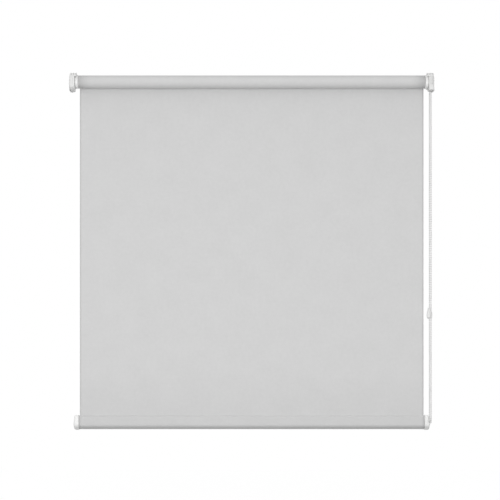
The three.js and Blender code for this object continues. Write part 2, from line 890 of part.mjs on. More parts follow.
function addPanel() {
  const back = clothPlane + clothThickness / 2;
  const front = clothPlane - clothThickness / 2;
  const panel = box([-clothHalf, front, slotFloor + seatGap], [clothHalf, back, 0]);
  addPiece("fabric_panel", panel, clothFinish);
}

// The bar's outline: rounded top, straight sides and a long rounded nose
function barOutline(growDeep, growHigh) {
  const half = barThickness / 2 + growDeep;
  const top = barTop + growHigh;
  const bottom = barBottom - growHigh;
  const radius = Math.max(barTopRadius + growDeep, barWall / 2);
  const noseTop = barBottom + barNoseHeight;
  const points = [];
  for (let i = 0; i <= arcSteps; i++) {
    const angle = (Math.PI / 2) * (i / arcSteps);
    points.push(
      new THREE.Vector2(
        barY + half - radius * (1 - Math.cos(angle)),
        top - radius * (1 - Math.sin(angle)),
      ),
    );
  }
  for (let i = 0; i <= arcSteps; i++) {
    const angle = (Math.PI / 2) * (1 + i / arcSteps);
    points.push(
      new THREE.Vector2(
        barY - half + radius * (1 + Math.cos(angle)),
        top - radius * (1 - Math.sin(angle)),
      ),
    );
  }
  for (let i = 0; i <= 2 * arcSteps; i++) {
    const angle = Math.PI * (1 + i / (2 * arcSteps));
    points.push(
      new THREE.Vector2(
        barY + half * Math.cos(angle),
        noseTop + (noseTop - bottom) * Math.sin(angle),
      ),
    );
  }
  return points;
}

// Bottom bar: aluminium profile, its cloth wrap, the strip that grips the cloth, and two caps
function addBottomBar() {
  const skin = wrapThickness + seatGap;
  const clothFront = clothPlane - clothThickness / 2;
  const clothBack = clothPlane + clothThickness / 2;
  const slotFront = clothFront - seatGap;
  const slotBack = clothBack + seatGap + splineThickness + seatGap;
  const slot = box(
    [-barHalf - cutOver, slotFront, slotFloor],
    [barHalf + cutOver, slotBack, barTop + cutOver],
  );
  const hollowTop = slotFloor - barWall;
  const below = (top) =>
    box(
      [-barHalf - tongueLength, barY - barThickness, barBottom - cutOver],
      [barHalf + tongueLength, barY + barThickness, top],
    );
  const hollow = barOutline(-skin - barWall, -skin - barWall);
  const cavity = alongX(hollow, -barHalf - cutOver, barHalf + cutOver).intersect(below(hollowTop));
  const body = alongX(barOutline(-skin, -skin), -barHalf, barHalf);
  addPiece("bar_profile", body.subtract(slot).subtract(cavity), aluminium);

  const wrapInner = barOutline(-wrapThickness, -wrapThickness).reverse();
  const wrap = alongX(barOutline(0, 0), -barHalf, barHalf, [wrapInner]);
  addPiece("bar_wrap", wrap.subtract(slot), clothFinish);

  const strip = box(
    [-clothHalf, clothBack + seatGap, slotFloor + seatGap],
    [clothHalf, clothBack + seatGap + splineThickness, barTop - splineRecess],
  );
  addPiece("cloth_strip", strip, innerPlastic);

  const rings = [];
  for (let i = 0; i <= arcSteps; i++) {
    const angle = (Math.PI / 2) * (i / arcSteps);
    const inset = capRounding * (1 - Math.cos(angle));
    const x = capInner + capDome * Math.sin(angle);
    const outline = barOutline(capProudDeep - inset, capProudHigh - inset);
    rings.push(outline.map((point) => new THREE.Vector3(x, point.x, point.y)));
  }
  const tongueInset = -skin - barWall - seatGap;
  const tongueFrom = capInner - tongueLength;
  let tongue = alongX(barOutline(tongueInset, tongueInset), tongueFrom, capInner + seatGap);
  tongue = tongue.intersect(below(hollowTop - seatGap));
  const cap = loft(rings).add(tongue);
  addPiece("bar_cap_right", cap, whitePlastic);
  addPiece("bar_cap_left", mirrored(cap), whitePlastic);
}

// The whole beads and half links of a strand whose even points are links and odd points beads
function beadString(points) {
  const sideways = new THREE.Vector3(1, 0, 0);
  const radiusAt = (i) => (i % 2 ? beadRadius : chainCordDiameter / 2);
  return sweptTube(points, radiusAt, beadSides, () => sideways);
}

function addChain() {
  const curve = new THREE.CatmullRomCurve3(
    chainRoute.map((point) => new THREE.Vector3(...point)),
    false,
    "centripetal",
  );
  curve.arcLengthDivisions = 4000;
  const beads = Math.round(curve.getLength() / beadPitch);
  addPiece("chain_loop", beadString(curve.getSpacedPoints(2 * beads)), beadPlastic);

  const straight = seatedStrandPitches * beadPitch;
  const seated = [];
  const halfPitches = pocketCount + 2 * 2 * seatedStrandPitches;
  for (let i = 0; i <= halfPitches; i++) {
    const along = (i * beadPitch) / 2 - straight;
    const turn = (along / beadPitch) * ((2 * Math.PI) / pocketCount);
    const arc = Math.min(Math.max(turn, 0), Math.PI);
    const drop = (Math.abs(turn - Math.PI / 2) - Math.PI / 2) * (pocketCount / (2 * Math.PI));
    const below = Math.max(drop, 0) * beadPitch;
    seated.push(
      new THREE.Vector3(
        chainX,
        axisY + pitchRadius * Math.cos(arc),
        pitchRadius * Math.sin(arc) - below,
      ),
    );
  }
  addPiece("chain_on_wheel", beadString(seated), beadPlastic);
}

// Chain connector: two shells that close round the chain's ends, as shares of its size
const connectorShares = [
  { height: -0.5, width: 0.5, depth: 0.62 },
  { height: -0.44, width: 0.8, depth: 0.86 },
  { height: -0.34, width: 0.96, depth: 0.97 },
  { height: -0.2, width: 1, depth: 1 },
  { height: -0.02, width: 0.96, depth: 1 },
  { height: 0.16, width: 0.84, depth: 0.98 },
  { height: 0.32, width: 0.68, depth: 0.95 },
  { height: 0.44, width: 0.58, depth: 0.88 },
  { height: 0.5, width: 0.48, depth: 0.74 },
];

function addConnector() {
  const sides = coarseSides;
  const rings = connectorShares.map((share) => {
    const ring = [];
    for (let i = 0; i < sides; i++) {
      const angle = (2 * Math.PI * i) / sides;
      ring.push(
        new THREE.Vector3(
          chainX + (connectorWidth / 2) * share.width * Math.cos(angle),
          strandBack + (connectorDepth / 2) * share.depth * Math.sin(angle),
          connectorZ + connectorHeight * share.height,
        ),
      );
    }
    return ring;
  });
  let body = loft(rings);
  const reach = connectorHeight / 2 + cutOver;
  const channelSides = coarseSides / 2;
  const channelRadius = (beadRadius + channelClearance) / Math.cos(Math.PI / channelSides);
  const channel = new THREE.CylinderGeometry(
    channelRadius,
    channelRadius,
    2 * reach,
    channelSides,
  );
  channel.rotateX(Math.PI / 2);
  channel.translate(chainX, strandBack, connectorZ);
  body = body.subtract(solidOf(channel));
  const mouth = new THREE.SphereGeometry(mouthWidth / 2, boreSides, pocketSides);
  mouth.scale(1, connectorDepth / mouthWidth, (2 * mouthHeight) / mouthWidth);
  mouth.translate(chainX, strandBack - connectorDepth / 2, connectorZ - connectorHeight / 2);
  const halves = { connector_front: -1, connector_back: 1 };
  for (const [name, side] of Object.entries(halves)) {
    const faces = [strandBack + (side * connectorSplit) / 2, strandBack + side * connectorDepth];
    faces.sort((a, b) => a - b);
    const half = box(
      [chainX - connectorWidth, faces[0], connectorZ - reach],
      [chainX + connectorWidth, faces[1], connectorZ + reach],
    );
    let shell = body.intersect(half);
    if (side < 0) shell = shell.subtract(solidOf(mouth));
    addPiece(name, shell, beadPlastic);
  }
}

addControlBracket();
addSpindle();
addChainWheel();
addPlugs();
addIdlePin();
addIdleBracket();
addRoller();
addPanel();
addBottomBar();
addChain();
addConnector();

export default blind;
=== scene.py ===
"""A blackout roller blind

Cloth on a tube, two covered brackets, a bead chain and a bottom bar.
"""

import math

import bmesh
import bpy
from mathutils import Matrix, Vector, noise


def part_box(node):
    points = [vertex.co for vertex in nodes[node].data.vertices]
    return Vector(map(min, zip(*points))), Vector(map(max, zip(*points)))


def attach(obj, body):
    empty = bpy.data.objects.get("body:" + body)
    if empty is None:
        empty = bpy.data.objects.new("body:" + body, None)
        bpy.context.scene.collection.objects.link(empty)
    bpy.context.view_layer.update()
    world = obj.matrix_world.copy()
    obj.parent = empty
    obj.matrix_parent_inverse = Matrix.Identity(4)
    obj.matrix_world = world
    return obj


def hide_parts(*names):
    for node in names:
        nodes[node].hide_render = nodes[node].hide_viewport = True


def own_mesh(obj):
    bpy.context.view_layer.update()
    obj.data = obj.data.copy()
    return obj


bl_info = {
    "name": "Roller Blind",
    "version": (1, 0, 0),
    "blender": (4, 5, 0),
    "location": "View3D > Sidebar > Blind",
    "description": "Builds a roller blind with its brackets, chain and bottom bar",
    "category": "Object",
}

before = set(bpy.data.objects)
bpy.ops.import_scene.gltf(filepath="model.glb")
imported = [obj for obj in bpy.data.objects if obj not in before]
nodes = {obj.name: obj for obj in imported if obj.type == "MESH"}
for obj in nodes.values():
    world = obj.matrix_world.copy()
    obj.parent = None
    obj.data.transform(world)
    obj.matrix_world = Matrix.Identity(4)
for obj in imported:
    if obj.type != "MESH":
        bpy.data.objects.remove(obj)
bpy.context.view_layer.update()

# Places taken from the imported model
tube_low, tube_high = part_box("roller_tube")
axis_y = (tube_low.y + tube_high.y) / 2
tube_radius = (tube_high.z - tube_low.z) / 2
roll_half = tube_high.x
panel_low, panel_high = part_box("fabric_panel")
cloth_plane = (panel_low.y + panel_high.y) / 2
wrap_low, wrap_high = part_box("bar_wrap")
plate_low, plate_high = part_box("control_bracket")
cover_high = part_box("control_cover")[1]
cup_low, cup_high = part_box("chain_guard")
plug_low, plug_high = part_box("drive_plug")
idle_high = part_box("idle_plug")[1]
shell_low, shell_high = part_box("connector_front")
shell_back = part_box("connector_back")[1].y

# Rounding below a bracket's front, as a share of its height
front_rounding = {"control": 0.04, "idle": 0.34}

# Rounding below the back of each housing
back_rounding = {"control": 0.0215, "idle": 0.013}

# Radius of the bore that the idle pin runs in
pin_bore = 0.0043

# How far a bracket's outer side draws in at its top, and over what height
side_curve = (0.0036, 0.022)

# How much lower the bottom bar's cloth hangs than the CAD solid
bar_sag = 0.0014

# How far above the bottom bar the hanging cloth stays flat
flat_above_bar = 0.09

# Radius of the chain on its wheel, and the height of the middle of its lowest turn
chain_radius = 0.011591
chain_turn = -0.8968

# Middle of a bracket's screw slots, and what a screw's head needs round a slot
slot_x = 0.47285
head_room = 0.0025

# Notches in a bracket's front edge
notch_width, notch_depth = 0.0014, 0.0013
notch_pitch = 0.006

# Gap that is left between two parts that touch
seam = 0.00005


class BlindSizes(bpy.types.PropertyGroup):
    """Sizes of the cloth, the chain and the moulded parts"""

    cloth_thickness: bpy.props.FloatProperty(
        name="Cloth thickness",
        description="Thickness of the coated cloth",
        default=0.00045,
        unit="LENGTH",
        precision=5,
    )
    cloth_ease: bpy.props.FloatProperty(
        name="Cloth ease",
        description="How far the hanging cloth leaves a flat plane",
        default=0.0007,
        unit="LENGTH",
        precision=5,
    )
    yarn_pitch: bpy.props.FloatProperty(
        name="Yarn pitch",
        description="Distance from one yarn of the cloth to the next",
        default=0.00055,
        unit="LENGTH",
        precision=5,
    )
    bead_diameter: bpy.props.FloatProperty(
        name="Bead diameter",
        description="Diameter of a bead of the control chain",
        default=0.0045,
        unit="LENGTH",
        precision=5,
    )
    bead_pitch: bpy.props.FloatProperty(
        name="Bead pitch",
        description="Distance from one bead to the next",
        default=0.006,
        unit="LENGTH",
        precision=5,
    )
    link_diameter: bpy.props.FloatProperty(
        name="Link diameter",
        description="Diameter of the cord between two beads",
        default=0.0015,
        unit="LENGTH",
        precision=5,
    )
    plate_thickness: bpy.props.FloatProperty(
        name="Plate thickness",
        description="Thickness of the bracket's side plate and wall plate",
        default=0.002,
        unit="LENGTH",
        precision=5,
    )
    slot_width: bpy.props.FloatProperty(
        name="Screw slot width",
        description="Width of the screw slots in the brackets",
        default=0.005,
        unit="LENGTH",
        precision=5,
    )
    slot_length: bpy.props.FloatProperty(
        name="Screw slot length",
        description="Length of the screw slots in the brackets",
        default=0.012,
        unit="LENGTH",
        precision=5,
    )
    edge_rounding: bpy.props.FloatProperty(
        name="Edge rounding",
        description="Rounding of the edges of the moulded parts",
        default=0.0003,
        unit="LENGTH",
        precision=5,
    )


class BlindColours(bpy.types.PropertyGroup):
    """Colours of the cloth, the plastics and the metals"""

    cloth: bpy.props.FloatVectorProperty(
        name="Cloth",
        description="Woven side of the cloth",
        default=(0.635, 0.635, 0.635),
        subtype="COLOR",
    )
    coating: bpy.props.FloatVectorProperty(
        name="Coating",
        description="Light-tight coating on the window side of the cloth",
        default=(0.63, 0.63, 0.63),
        subtype="COLOR",
    )
    plastic: bpy.props.FloatVectorProperty(
        name="Bracket plastic",
        description="Brackets, covers and housings",
        default=(0.765, 0.765, 0.76),
        subtype="COLOR",
    )
    plug_plastic: bpy.props.FloatVectorProperty(
        name="Plug plastic",
        description="End plugs of the roller and end caps of the bottom bar",
        default=(0.86, 0.86, 0.855),
        subtype="COLOR",
    )
    beads: bpy.props.FloatVectorProperty(
        name="Chain",
        description="Beads and connector of the control chain",
        default=(0.8, 0.8, 0.795),
        subtype="COLOR",
    )
    aluminium: bpy.props.FloatVectorProperty(
        name="Aluminium",
        description="Tube and bottom bar profile",
        default=(0.78, 0.79, 0.8),
        subtype="COLOR",
    )
    steel: bpy.props.FloatVectorProperty(
        name="Steel",
        description="Pin, springs, clip and screw",
        default=(0.55, 0.56, 0.58),
        subtype="COLOR",
    )


# Shader building


def set_inputs(tree, node, inputs):
    """Gives a node's inputs their values and links"""
    for key, value in inputs.items():
        if isinstance(value, bpy.types.NodeSocket):
            tree.links.new(value, node.inputs[key])
        else:
            node.inputs[key].default_value = value


def add_node(tree, kind, inputs=None, **settings):
    """One shader node with its settings, values and links"""
    made = tree.nodes.new(kind)
    for key, value in settings.items():
        setattr(made, key, value)
    set_inputs(tree, made, inputs or {})
    return made


def sum_of(tree, operation, *values):
    """The result of one Math node"""
    given = dict(enumerate(values))
    return add_node(tree, "ShaderNodeMath", given, operation=operation).outputs[0]


def noise_of(tree, place, scale, detail=2.0, roughness=0.5):
    """Noise at a scale in patches a metre"""
    inputs = {"Vector": place, "Scale": scale, "Detail": detail, "Roughness": roughness}
    return add_node(tree, "ShaderNodeTexNoise", inputs).outputs["Fac"]


def stretched_noise(tree, place, stretch, detail=2.0):
    """Noise whose patches are stretched by three numbers, in patches a metre"""
    mapped = add_node(tree, "ShaderNodeMapping", {"Vector": place, "Scale": stretch})
    return noise_of(tree, mapped.outputs[0], 1.0, detail)


def fill_weave(group, given):
    """Plain weave: height of the yarns, and the light and dark of uneven ones"""
    parts = add_node(group, "ShaderNodeSeparateXYZ", {0: given["Place"]}).outputs
    waves = []
    for axis in ("X", "Y"):
        turns = sum_of(group, "DIVIDE", parts[axis], given["Yarn"])
        half_turns = sum_of(group, "MULTIPLY", turns, math.pi)
        waves.append(sum_of(group, "SINE", half_turns))
    over = sum_of(group, "MULTIPLY", *waves)
    lifted = sum_of(group, "MULTIPLY_ADD", over, 0.5, 0.5)
    warp, weft = (sum_of(group, "ABSOLUTE", wave) for wave in waves)
    ways = {"Factor": lifted, "A": weft, "B": warp}
    crossing = add_node(group, "ShaderNodeMix", ways).outputs["Result"]
    across = stretched_noise(group, given["Place"], (45.0, 900.0, 1.0))
    along = stretched_noise(group, given["Place"], (900.0, 45.0, 1.0))
    both = sum_of(group, "ADD", across, along)
    return {"Height": crossing, "Tone": sum_of(group, "MULTIPLY", both, 0.5)}


def fill_patches(group, given):
    """Broad soft patches, as in dyed cloth and handled plastic"""
    return {"Tone": noise_of(group, given["Place"], given["Patches"], 3.0, 0.55)}


def fill_grain(group, given):
    """Fine grain of a moulded or drawn surface, and worn edges"""
    edge = add_node(group, "ShaderNodeNewGeometry").outputs["Pointiness"]
    sharpness = {"Value": edge, "From Min": 0.52, "From Max": 0.62}
    sharp = add_node(group, "ShaderNodeMapRange", sharpness).outputs["Result"]
    broken = stretched_noise(group, given["Place"], (160.0, 160.0, 160.0), 4.0)
    return {
        "Height": noise_of(group, given["Place"], given["Grain"]),
        "Wear": sum_of(group, "MULTIPLY", sharp, broken),
    }


# What fills each shader group, and the name and default of its size
groups = {
    "Plain weave": (fill_weave, "Yarn", 0.0005),
    "Soft patches": (fill_patches, "Patches", 20.0),
    "Grain and wear": (fill_grain, "Grain", 3000.0),
}


def start_group(name):
    """A new shader group with its sockets, filled and linked"""
    fill, label, default = groups[name]
    group = bpy.data.node_groups.new(name, "ShaderNodeTree")
    sockets = group.interface
    place = sockets.new_socket(name="Place", socket_type="NodeSocketVector")
    place.default_value = (0, 0, 0)
    size = sockets.new_socket(name=label, socket_type="NodeSocketFloat")
    size.default_value = default
    results = fill(group, add_node(group, "NodeGroupInput").outputs)
    for result in results:
        sockets.new_socket(name=result, in_out="OUTPUT", socket_type="NodeSocketFloat")
    add_node(group, "NodeGroupOutput", results)
    return group


def use_group(tree, name, place, size):
    """A node that places a shader group in a material"""
    group = bpy.data.node_groups.get(name) or start_group(name)
    inputs = {"Place": place, groups[name][1]: size}
    return add_node(tree, "ShaderNodeGroup", inputs, node_tree=group).outputs


def mixed_colour(tree, factor, one, other):
    """One colour mixed with another"""
    inputs = {"Factor": factor, "A": one, "B": other}
    return add_node(tree, "ShaderNodeMix", inputs, data_type="RGBA").outputs["Result"]


def ranged(tree, value, low, high):
    """A value from 0 to 1 spread between two others"""
    inputs = {"Value": value, "To Min": low, "To Max": high}
    return add_node(tree, "ShaderNodeMapRange", inputs).outputs["Result"]


def raised(tree, height, distance, strength):
    """A normal bent by a height"""
    inputs = {"Strength": strength, "Distance": distance, "Height": height}
    return add_node(tree, "ShaderNodeBump", inputs).outputs[0]


def shaded(colour, share):
    """A colour made lighter or darker, ready for a socket"""
    return (*[min(part * share, 1.0) for part in colour], 1.0)


def start_material(name):
    """A material with only a Principled shader and its output"""
    made = bpy.data.materials.new(name)
    made.use_nodes = True
    tree = made.node_tree
    tree.nodes.clear()
    shader = add_node(tree, "ShaderNodeBsdfPrincipled")
    add_node(tree, "ShaderNodeOutputMaterial", {"Surface": shader.outputs[0]})
    return made, tree, shader


def cloth_material(name, colour, weave_depth, roughness):
    """Cloth: its woven side, or its coated side with the weave half filled"""
    made, tree, shader = start_material(name)
    yarn = bpy.context.scene.blind_sizes.yarn_pitch
    place = add_node(tree, "ShaderNodeUVMap", uv_map="Cut").outputs[0]
    weave = use_group(tree, "Plain weave", place, yarn)
    broad = use_group(tree, "Soft patches", place, 16.0)["Tone"]
    small = use_group(tree, "Soft patches", place, 110.0)["Tone"]
    patches = sum_of(tree, "ADD", broad, small)
    yarns = sum_of(tree, "MULTIPLY", weave["Tone"], 0.3)
    tone = sum_of(tree, "MULTIPLY_ADD", patches, 0.35, yarns)
    dark, light = shaded(colour, 0.9), shaded(colour, 1.1)
    inputs = {
        "Base Color": mixed_colour(tree, tone, dark, light),
        "Roughness": ranged(tree, weave["Tone"], roughness - 0.06, roughness),
        "Sheen Weight": 0.08,
        "Sheen Roughness": 0.5,
        "Specular IOR Level": 0.25,
        "Normal": raised(tree, weave["Height"], weave_depth, 0.35),
    }
    set_inputs(tree, shader, inputs)
    return made


def plastic_material(name, colour, roughness, grain):
    """Moulded plastic with a fine grain, faint patches and lightly worn edges"""
    made, tree, shader = start_material(name)
    place = add_node(tree, "ShaderNodeTexCoord").outputs["Object"]
    surface = use_group(tree, "Grain and wear", place, grain)
    patches = use_group(tree, "Soft patches", place, 60.0)["Tone"]
    dark, light = shaded(colour, 0.965), shaded(colour, 1.035)
    tint = mixed_colour(tree, patches, dark, light)
    inputs = {
        "Base Color": mixed_colour(tree, surface["Wear"], tint, shaded(colour, 0.9)),
        "Roughness": ranged(tree, patches, roughness - 0.07, roughness + 0.07),
        "IOR": 1.49,
        "Normal": raised(tree, surface["Height"], 0.00008, 0.12),
    }
    set_inputs(tree, shader, inputs)
    return made


def metal_material(name, colour, roughness, stretch):
    """Bare metal with fine lines along its drawing direction"""
    made, tree, shader = start_material(name)
    place = add_node(tree, "ShaderNodeTexCoord").outputs["Object"]
    lines = stretched_noise(tree, place, stretch, 3.0)
    dark, light = shaded(colour, 0.86), shaded(colour, 1.1)
    inputs = {
        "Base Color": mixed_colour(tree, lines, dark, light),
        "Metallic": 1.0,
        "Roughness": ranged(tree, lines, roughness - 0.08, roughness + 0.1),
        "Normal": raised(tree, lines, 0.00005, 0.15),
    }
    set_inputs(tree, shader, inputs)
    return made


# What makes each look, its material's name, its colour, and the maker's own numbers
looks = {
    "woven": (cloth_material, "Woven cloth", "cloth", 0.00012, 0.92),
    "coated": (cloth_material, "Coated cloth", "coating", 0.00004, 0.7),
    "moulded": (plastic_material, "White plastic", "plastic", 0.4, 2600.0),
    "plug": (plastic_material, "Plug plastic", "plug_plastic", 0.36, 2600.0),
    "bead": (plastic_material, "Bead plastic", "beads", 0.33, 3500.0),
    "inner": (plastic_material, "Inner plastic", "beads", 0.55, 2000.0),
    "drawn": (metal_material, "Drawn aluminium", "aluminium", 0.34, (12, 2500, 2500)),
    "plated": (metal_material, "Plated steel", "steel", 0.3, (900, 900, 900)),
}


def material_of(look):
    """The material of a look, made when it is first asked for"""
    make, name, colour, *numbers = looks[look]
    if name in bpy.data.materials:
        return bpy.data.materials[name]
    return make(name, getattr(bpy.context.scene.blind_colours, colour), *numbers)


# Mesh building


# The body and looks of each piece, and the solid that it stands for
pieces = {
    "bead_chain": ("brackets", ["bead"], "chain_loop"),
    "seated_beads": ("brackets", ["bead"], "chain_on_wheel"),
    "connector_shell_front": ("connector", ["bead"], "connector_front"),
    "connector_shell_back": ("connector", ["bead"], "connector_back"),
    "hanging_cloth": ("brackets", ["woven", "coated"], "fabric_panel"),
    "wound_cloth": ("roller", ["coated", "woven"], "fabric_roll"),
    "bar_cloth": ("bottom_bar", ["woven", "coated"], "bar_wrap"),
    "bar_extrusion": ("bottom_bar", ["drawn"], "bar_profile"),
    "end_cap_right": ("bottom_bar", ["plug"], "bar_cap_right"),
    "end_cap_left": ("bottom_bar", ["plug"], "bar_cap_left"),
    "control_side_bracket": ("brackets", ["moulded"], "control_bracket"),
    "idle_side_bracket": ("brackets", ["moulded"], "idle_bracket"),
    "control_snap_cover": ("brackets", ["moulded"], "control_cover"),
    "idle_snap_cover": ("brackets", ["moulded"], "idle_cover"),
    "chain_guard_cup": ("brackets", ["moulded"], "chain_guard"),
    "idle_pin_cup": ("brackets", ["moulded"], "idle_housing"),
    "drive_end_plug": ("roller", ["plug"], "drive_plug"),
    "idle_end_plug": ("roller", ["plug"], "idle_plug"),
}


def mesh_of(shape, name):
    """A mesh from a bmesh, which is freed"""
    mesh = bpy.data.meshes.new(name)
    shape.to_mesh(mesh)
    shape.free()
    return mesh


def add_object(name, data):
    """An object in the scene for a mesh, a lamp or a camera"""
    made = bpy.data.objects.new(name, data)
    bpy.context.scene.collection.objects.link(made)
    return made


def add_piece(name, shape, rounding=0.0):
    """A finished object from a bmesh, riding on its body of the frame"""
    body, sides, *stands_for = pieces[name]
    mesh = mesh_of(shape, name)
    for side in sides:
        mesh.materials.append(material_of(side))
    mesh.shade_smooth()
    piece = add_object(name, mesh)
    if rounding:
        bevel = piece.modifiers.new("Rounded edges", "BEVEL")
        bevel.width = rounding
        bevel.segments = 2
        bevel.limit_method = "ANGLE"
        bevel.angle_limit = math.radians(35)
        bevel.harden_normals = True
    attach(piece, body)
    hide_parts(*stands_for)
    return piece


def mirror_shape(shape):
    """The same shape on the other side of the blind"""
    bmesh.ops.scale(shape, vec=(-1, 1, 1), verts=shape.verts)
    bmesh.ops.reverse_faces(shape, faces=shape.faces)
    return shape


def arc_points(y, z, radius, start, end, steps):
    """Points of an arc about a centre, as (y, z) pairs"""
    for i in range(steps + 1):
        angle = start + (end - start) * i / steps
        yield y + radius * math.cos(angle), z + radius * math.sin(angle)


def corner_loop(shape, corners, radii, steps=10):
    """Edges of a flat outline whose first corners are rounded by their own radii"""
    old = set(shape.edges)
    verts = [shape.verts.new(corner) for corner in corners]
    shape.faces.new(verts)
    for vert, radius in zip(verts, radii):
        if radius:
            bmesh.ops.bevel(
                shape,
                geom=[vert],
                offset=radius,
                offset_type="OFFSET",
                affect="VERTICES",
                segments=steps,
                profile=0.5,
                material=-1,
            )
    edges = [edge for edge in shape.edges if edge not in old]
    faces = [face for face in shape.faces if face.edges[0] in edges]
    bmesh.ops.delete(shape, geom=faces, context="FACES_ONLY")
    return edges


def slot_loop(shape, centre, along, across, sizes, grow=0.0):
    """Edges of a screw slot: a circle pulled apart along its length"""
    turn = Matrix((along, across, Vector(along).cross(across))).transposed()
    made = bmesh.ops.create_circle(
        shape, segments=20, radius=sizes.slot_width / 2 + grow
    )["verts"]
    reach = (sizes.slot_length - sizes.slot_width) / 2
    for vert in made:
        vert.co.x += math.copysign(reach, vert.co.x)
        vert.co = turn @ vert.co + Vector(centre)
    return list(dict.fromkeys(edge for vert in made for edge in vert.link_edges))


def thicken(shape, edges, step):
    """A closed solid from flat loops, the inner ones as holes, pushed along a vector"""
    filled = bmesh.ops.triangle_fill(shape, edges=edges, use_beauty=True)
    faces = [item for item in filled["geom"] if isinstance(item, bmesh.types.BMFace)]
    pushed = bmesh.ops.extrude_face_region(shape, geom=faces)["geom"]
    moved = [item for item in pushed if isinstance(item, bmesh.types.BMVert)]
    bmesh.ops.translate(shape, verts=moved, vec=step)
    bmesh.ops.recalc_face_normals(shape, faces=shape.faces)
    return shape


def block(low, high):
    """A plain box between two corners, for cutting"""
    shape = bmesh.new()
    bmesh.ops.create_cube(shape, size=1.0)
    low, high = Vector(low), Vector(high)
    bmesh.ops.scale(shape, vec=high - low, verts=shape.verts)
    bmesh.ops.translate(shape, vec=(low + high) / 2, verts=shape.verts)
    return shape


def turned(profile, steps=64, closed=True, start=0.0, sweep=math.tau):
    """A profile of (x, radius) pairs turned about the roller's axis"""
    shape = bmesh.new()
    up = Vector((0, math.cos(start), math.sin(start)))
    middle = Vector((0, axis_y, 0))
    verts = [
        shape.verts.new(middle + Vector((x, 0, 0)) + up * radius)
        for x, radius in profile
    ]
    pairs = list(zip(verts, verts[1:]))
    if closed:
        pairs.append((verts[-1], verts[0]))
    edges = [shape.edges.new(pair) for pair in pairs]
    whole = sweep == math.tau
    bmesh.ops.spin(
        shape,
        geom=verts + edges,
        cent=middle,
        axis=(1, 0, 0),
        angle=sweep,
        steps=steps,
        use_merge=whole,
    )
    bmesh.ops.remove_doubles(shape, verts=shape.verts, dist=1e-6)
    if not whole:
        bmesh.ops.holes_fill(shape, edges=shape.edges)
    bmesh.ops.recalc_face_normals(shape, faces=shape.faces)
    return shape


def loft(rings):
    """Closed rings of points bridged one to the next, with both ends filled"""
    shape = bmesh.new()
    loops = []
    for ring in rings:
        verts = [shape.verts.new(point) for point in ring]
        pairs = zip(verts, verts[1:] + verts[:1])
        loops.append([shape.edges.new(pair) for pair in pairs])
    for one, other in zip(loops, loops[1:]):
        bmesh.ops.bridge_loops(shape, edges=one + other)
    for end in (loops[0], loops[-1]):
        bmesh.ops.contextual_create(shape, geom=end)
    bmesh.ops.recalc_face_normals(shape, faces=shape.faces)
    return shape


def carve(solid, cutters):
    """A solid after other solids are cut from it"""
    made = [
        add_object("carving", mesh_of(shape, "carving")) for shape in (solid, *cutters)
    ]
    for tool in made[1:]:
        cut = made[0].modifiers.new("Cut", "BOOLEAN")
        cut.operation = "DIFFERENCE"
        cut.solver = "EXACT"
        cut.object = tool
    result = bmesh.new()
    result.from_object(made[0], bpy.context.evaluated_depsgraph_get())
    for item in made:
        mesh = item.data
        bpy.data.objects.remove(item)
        bpy.data.meshes.remove(mesh)
    verts, edges = result.verts, result.edges
    bmesh.ops.remove_doubles(result, verts=verts, dist=2e-6)
    flat = math.radians(1)
    bmesh.ops.dissolve_limit(result, angle_limit=flat, verts=verts, edges=edges)
    return result


def join_shape(shape, other):
    """Adds one bmesh to another and frees it"""
    mesh = mesh_of(other, "joined")
    shape.from_mesh(mesh)
    bpy.data.meshes.remove(mesh)


# Cord


def chain_route():
    """The free loop of chain, from the back of its wheel down and up to the front"""
    low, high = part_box("chain_loop")
    middle = (low.x + high.x) / 2
    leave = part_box("chain_on_wheel")[0].z - 0.00015
    heights = (leave, -0.06, -0.15, -0.3, -0.45, -0.6, -0.75, -0.86)
    points = [Vector((middle, axis_y + chain_radius, height)) for height in heights]
    for y, z in arc_points(axis_y, chain_turn, chain_radius, 0, -math.pi, 8):
        points.append(Vector((middle, y, z)))
    for point in points[7::-1]:
        points.append(Vector((middle, 2 * axis_y - point.y, point.z)))
    return points


def route_length(points):
    """Length along a route"""
    return sum((b - a).length for a, b in zip(points, points[1:]))


def along_route(points, distance):
    """Place and direction at a distance along a route"""
    for one, other in zip(points, points[1:]):
        step = (other - one).length
        if distance <= step or other is points[-1]:
            return one.lerp(other, distance / step), (other - one).normalized()
        distance -= step


def bead_mesh(sizes):
    """One bead with the link that runs through it"""
    shape = bmesh.new()
    bmesh.ops.create_uvsphere(
        shape, u_segments=10, v_segments=7, radius=sizes.bead_diameter / 2
    )
    add_rod(shape, sizes.link_diameter / 2, sizes.bead_pitch, 6)
    return mesh_of(shape, "bead")


def add_rod(shape, radius, length, sides, place=(0, 0, 0)):
    """Adds an upright rod with closed ends"""
    bmesh.ops.create_cone(
        shape,
        cap_ends=True,
        segments=sides,
        radius1=radius,
        radius2=radius,
        depth=length,
        matrix=Matrix.Translation(place),
    )


def add_beads(shape, places, sizes):
    """Beads at places along a chain, each turned to its direction"""
    bead = bead_mesh(sizes)
    for place, forward in places:
        turn = forward.to_track_quat("Z", "Y").to_matrix().to_4x4()
        start = len(shape.verts)
        shape.from_mesh(bead)
        shape.verts.ensure_lookup_table()
        where = Matrix.Translation(place) @ turn
        for vert in shape.verts[start:]:
            vert.co = where @ vert.co
    bpy.data.meshes.remove(bead)


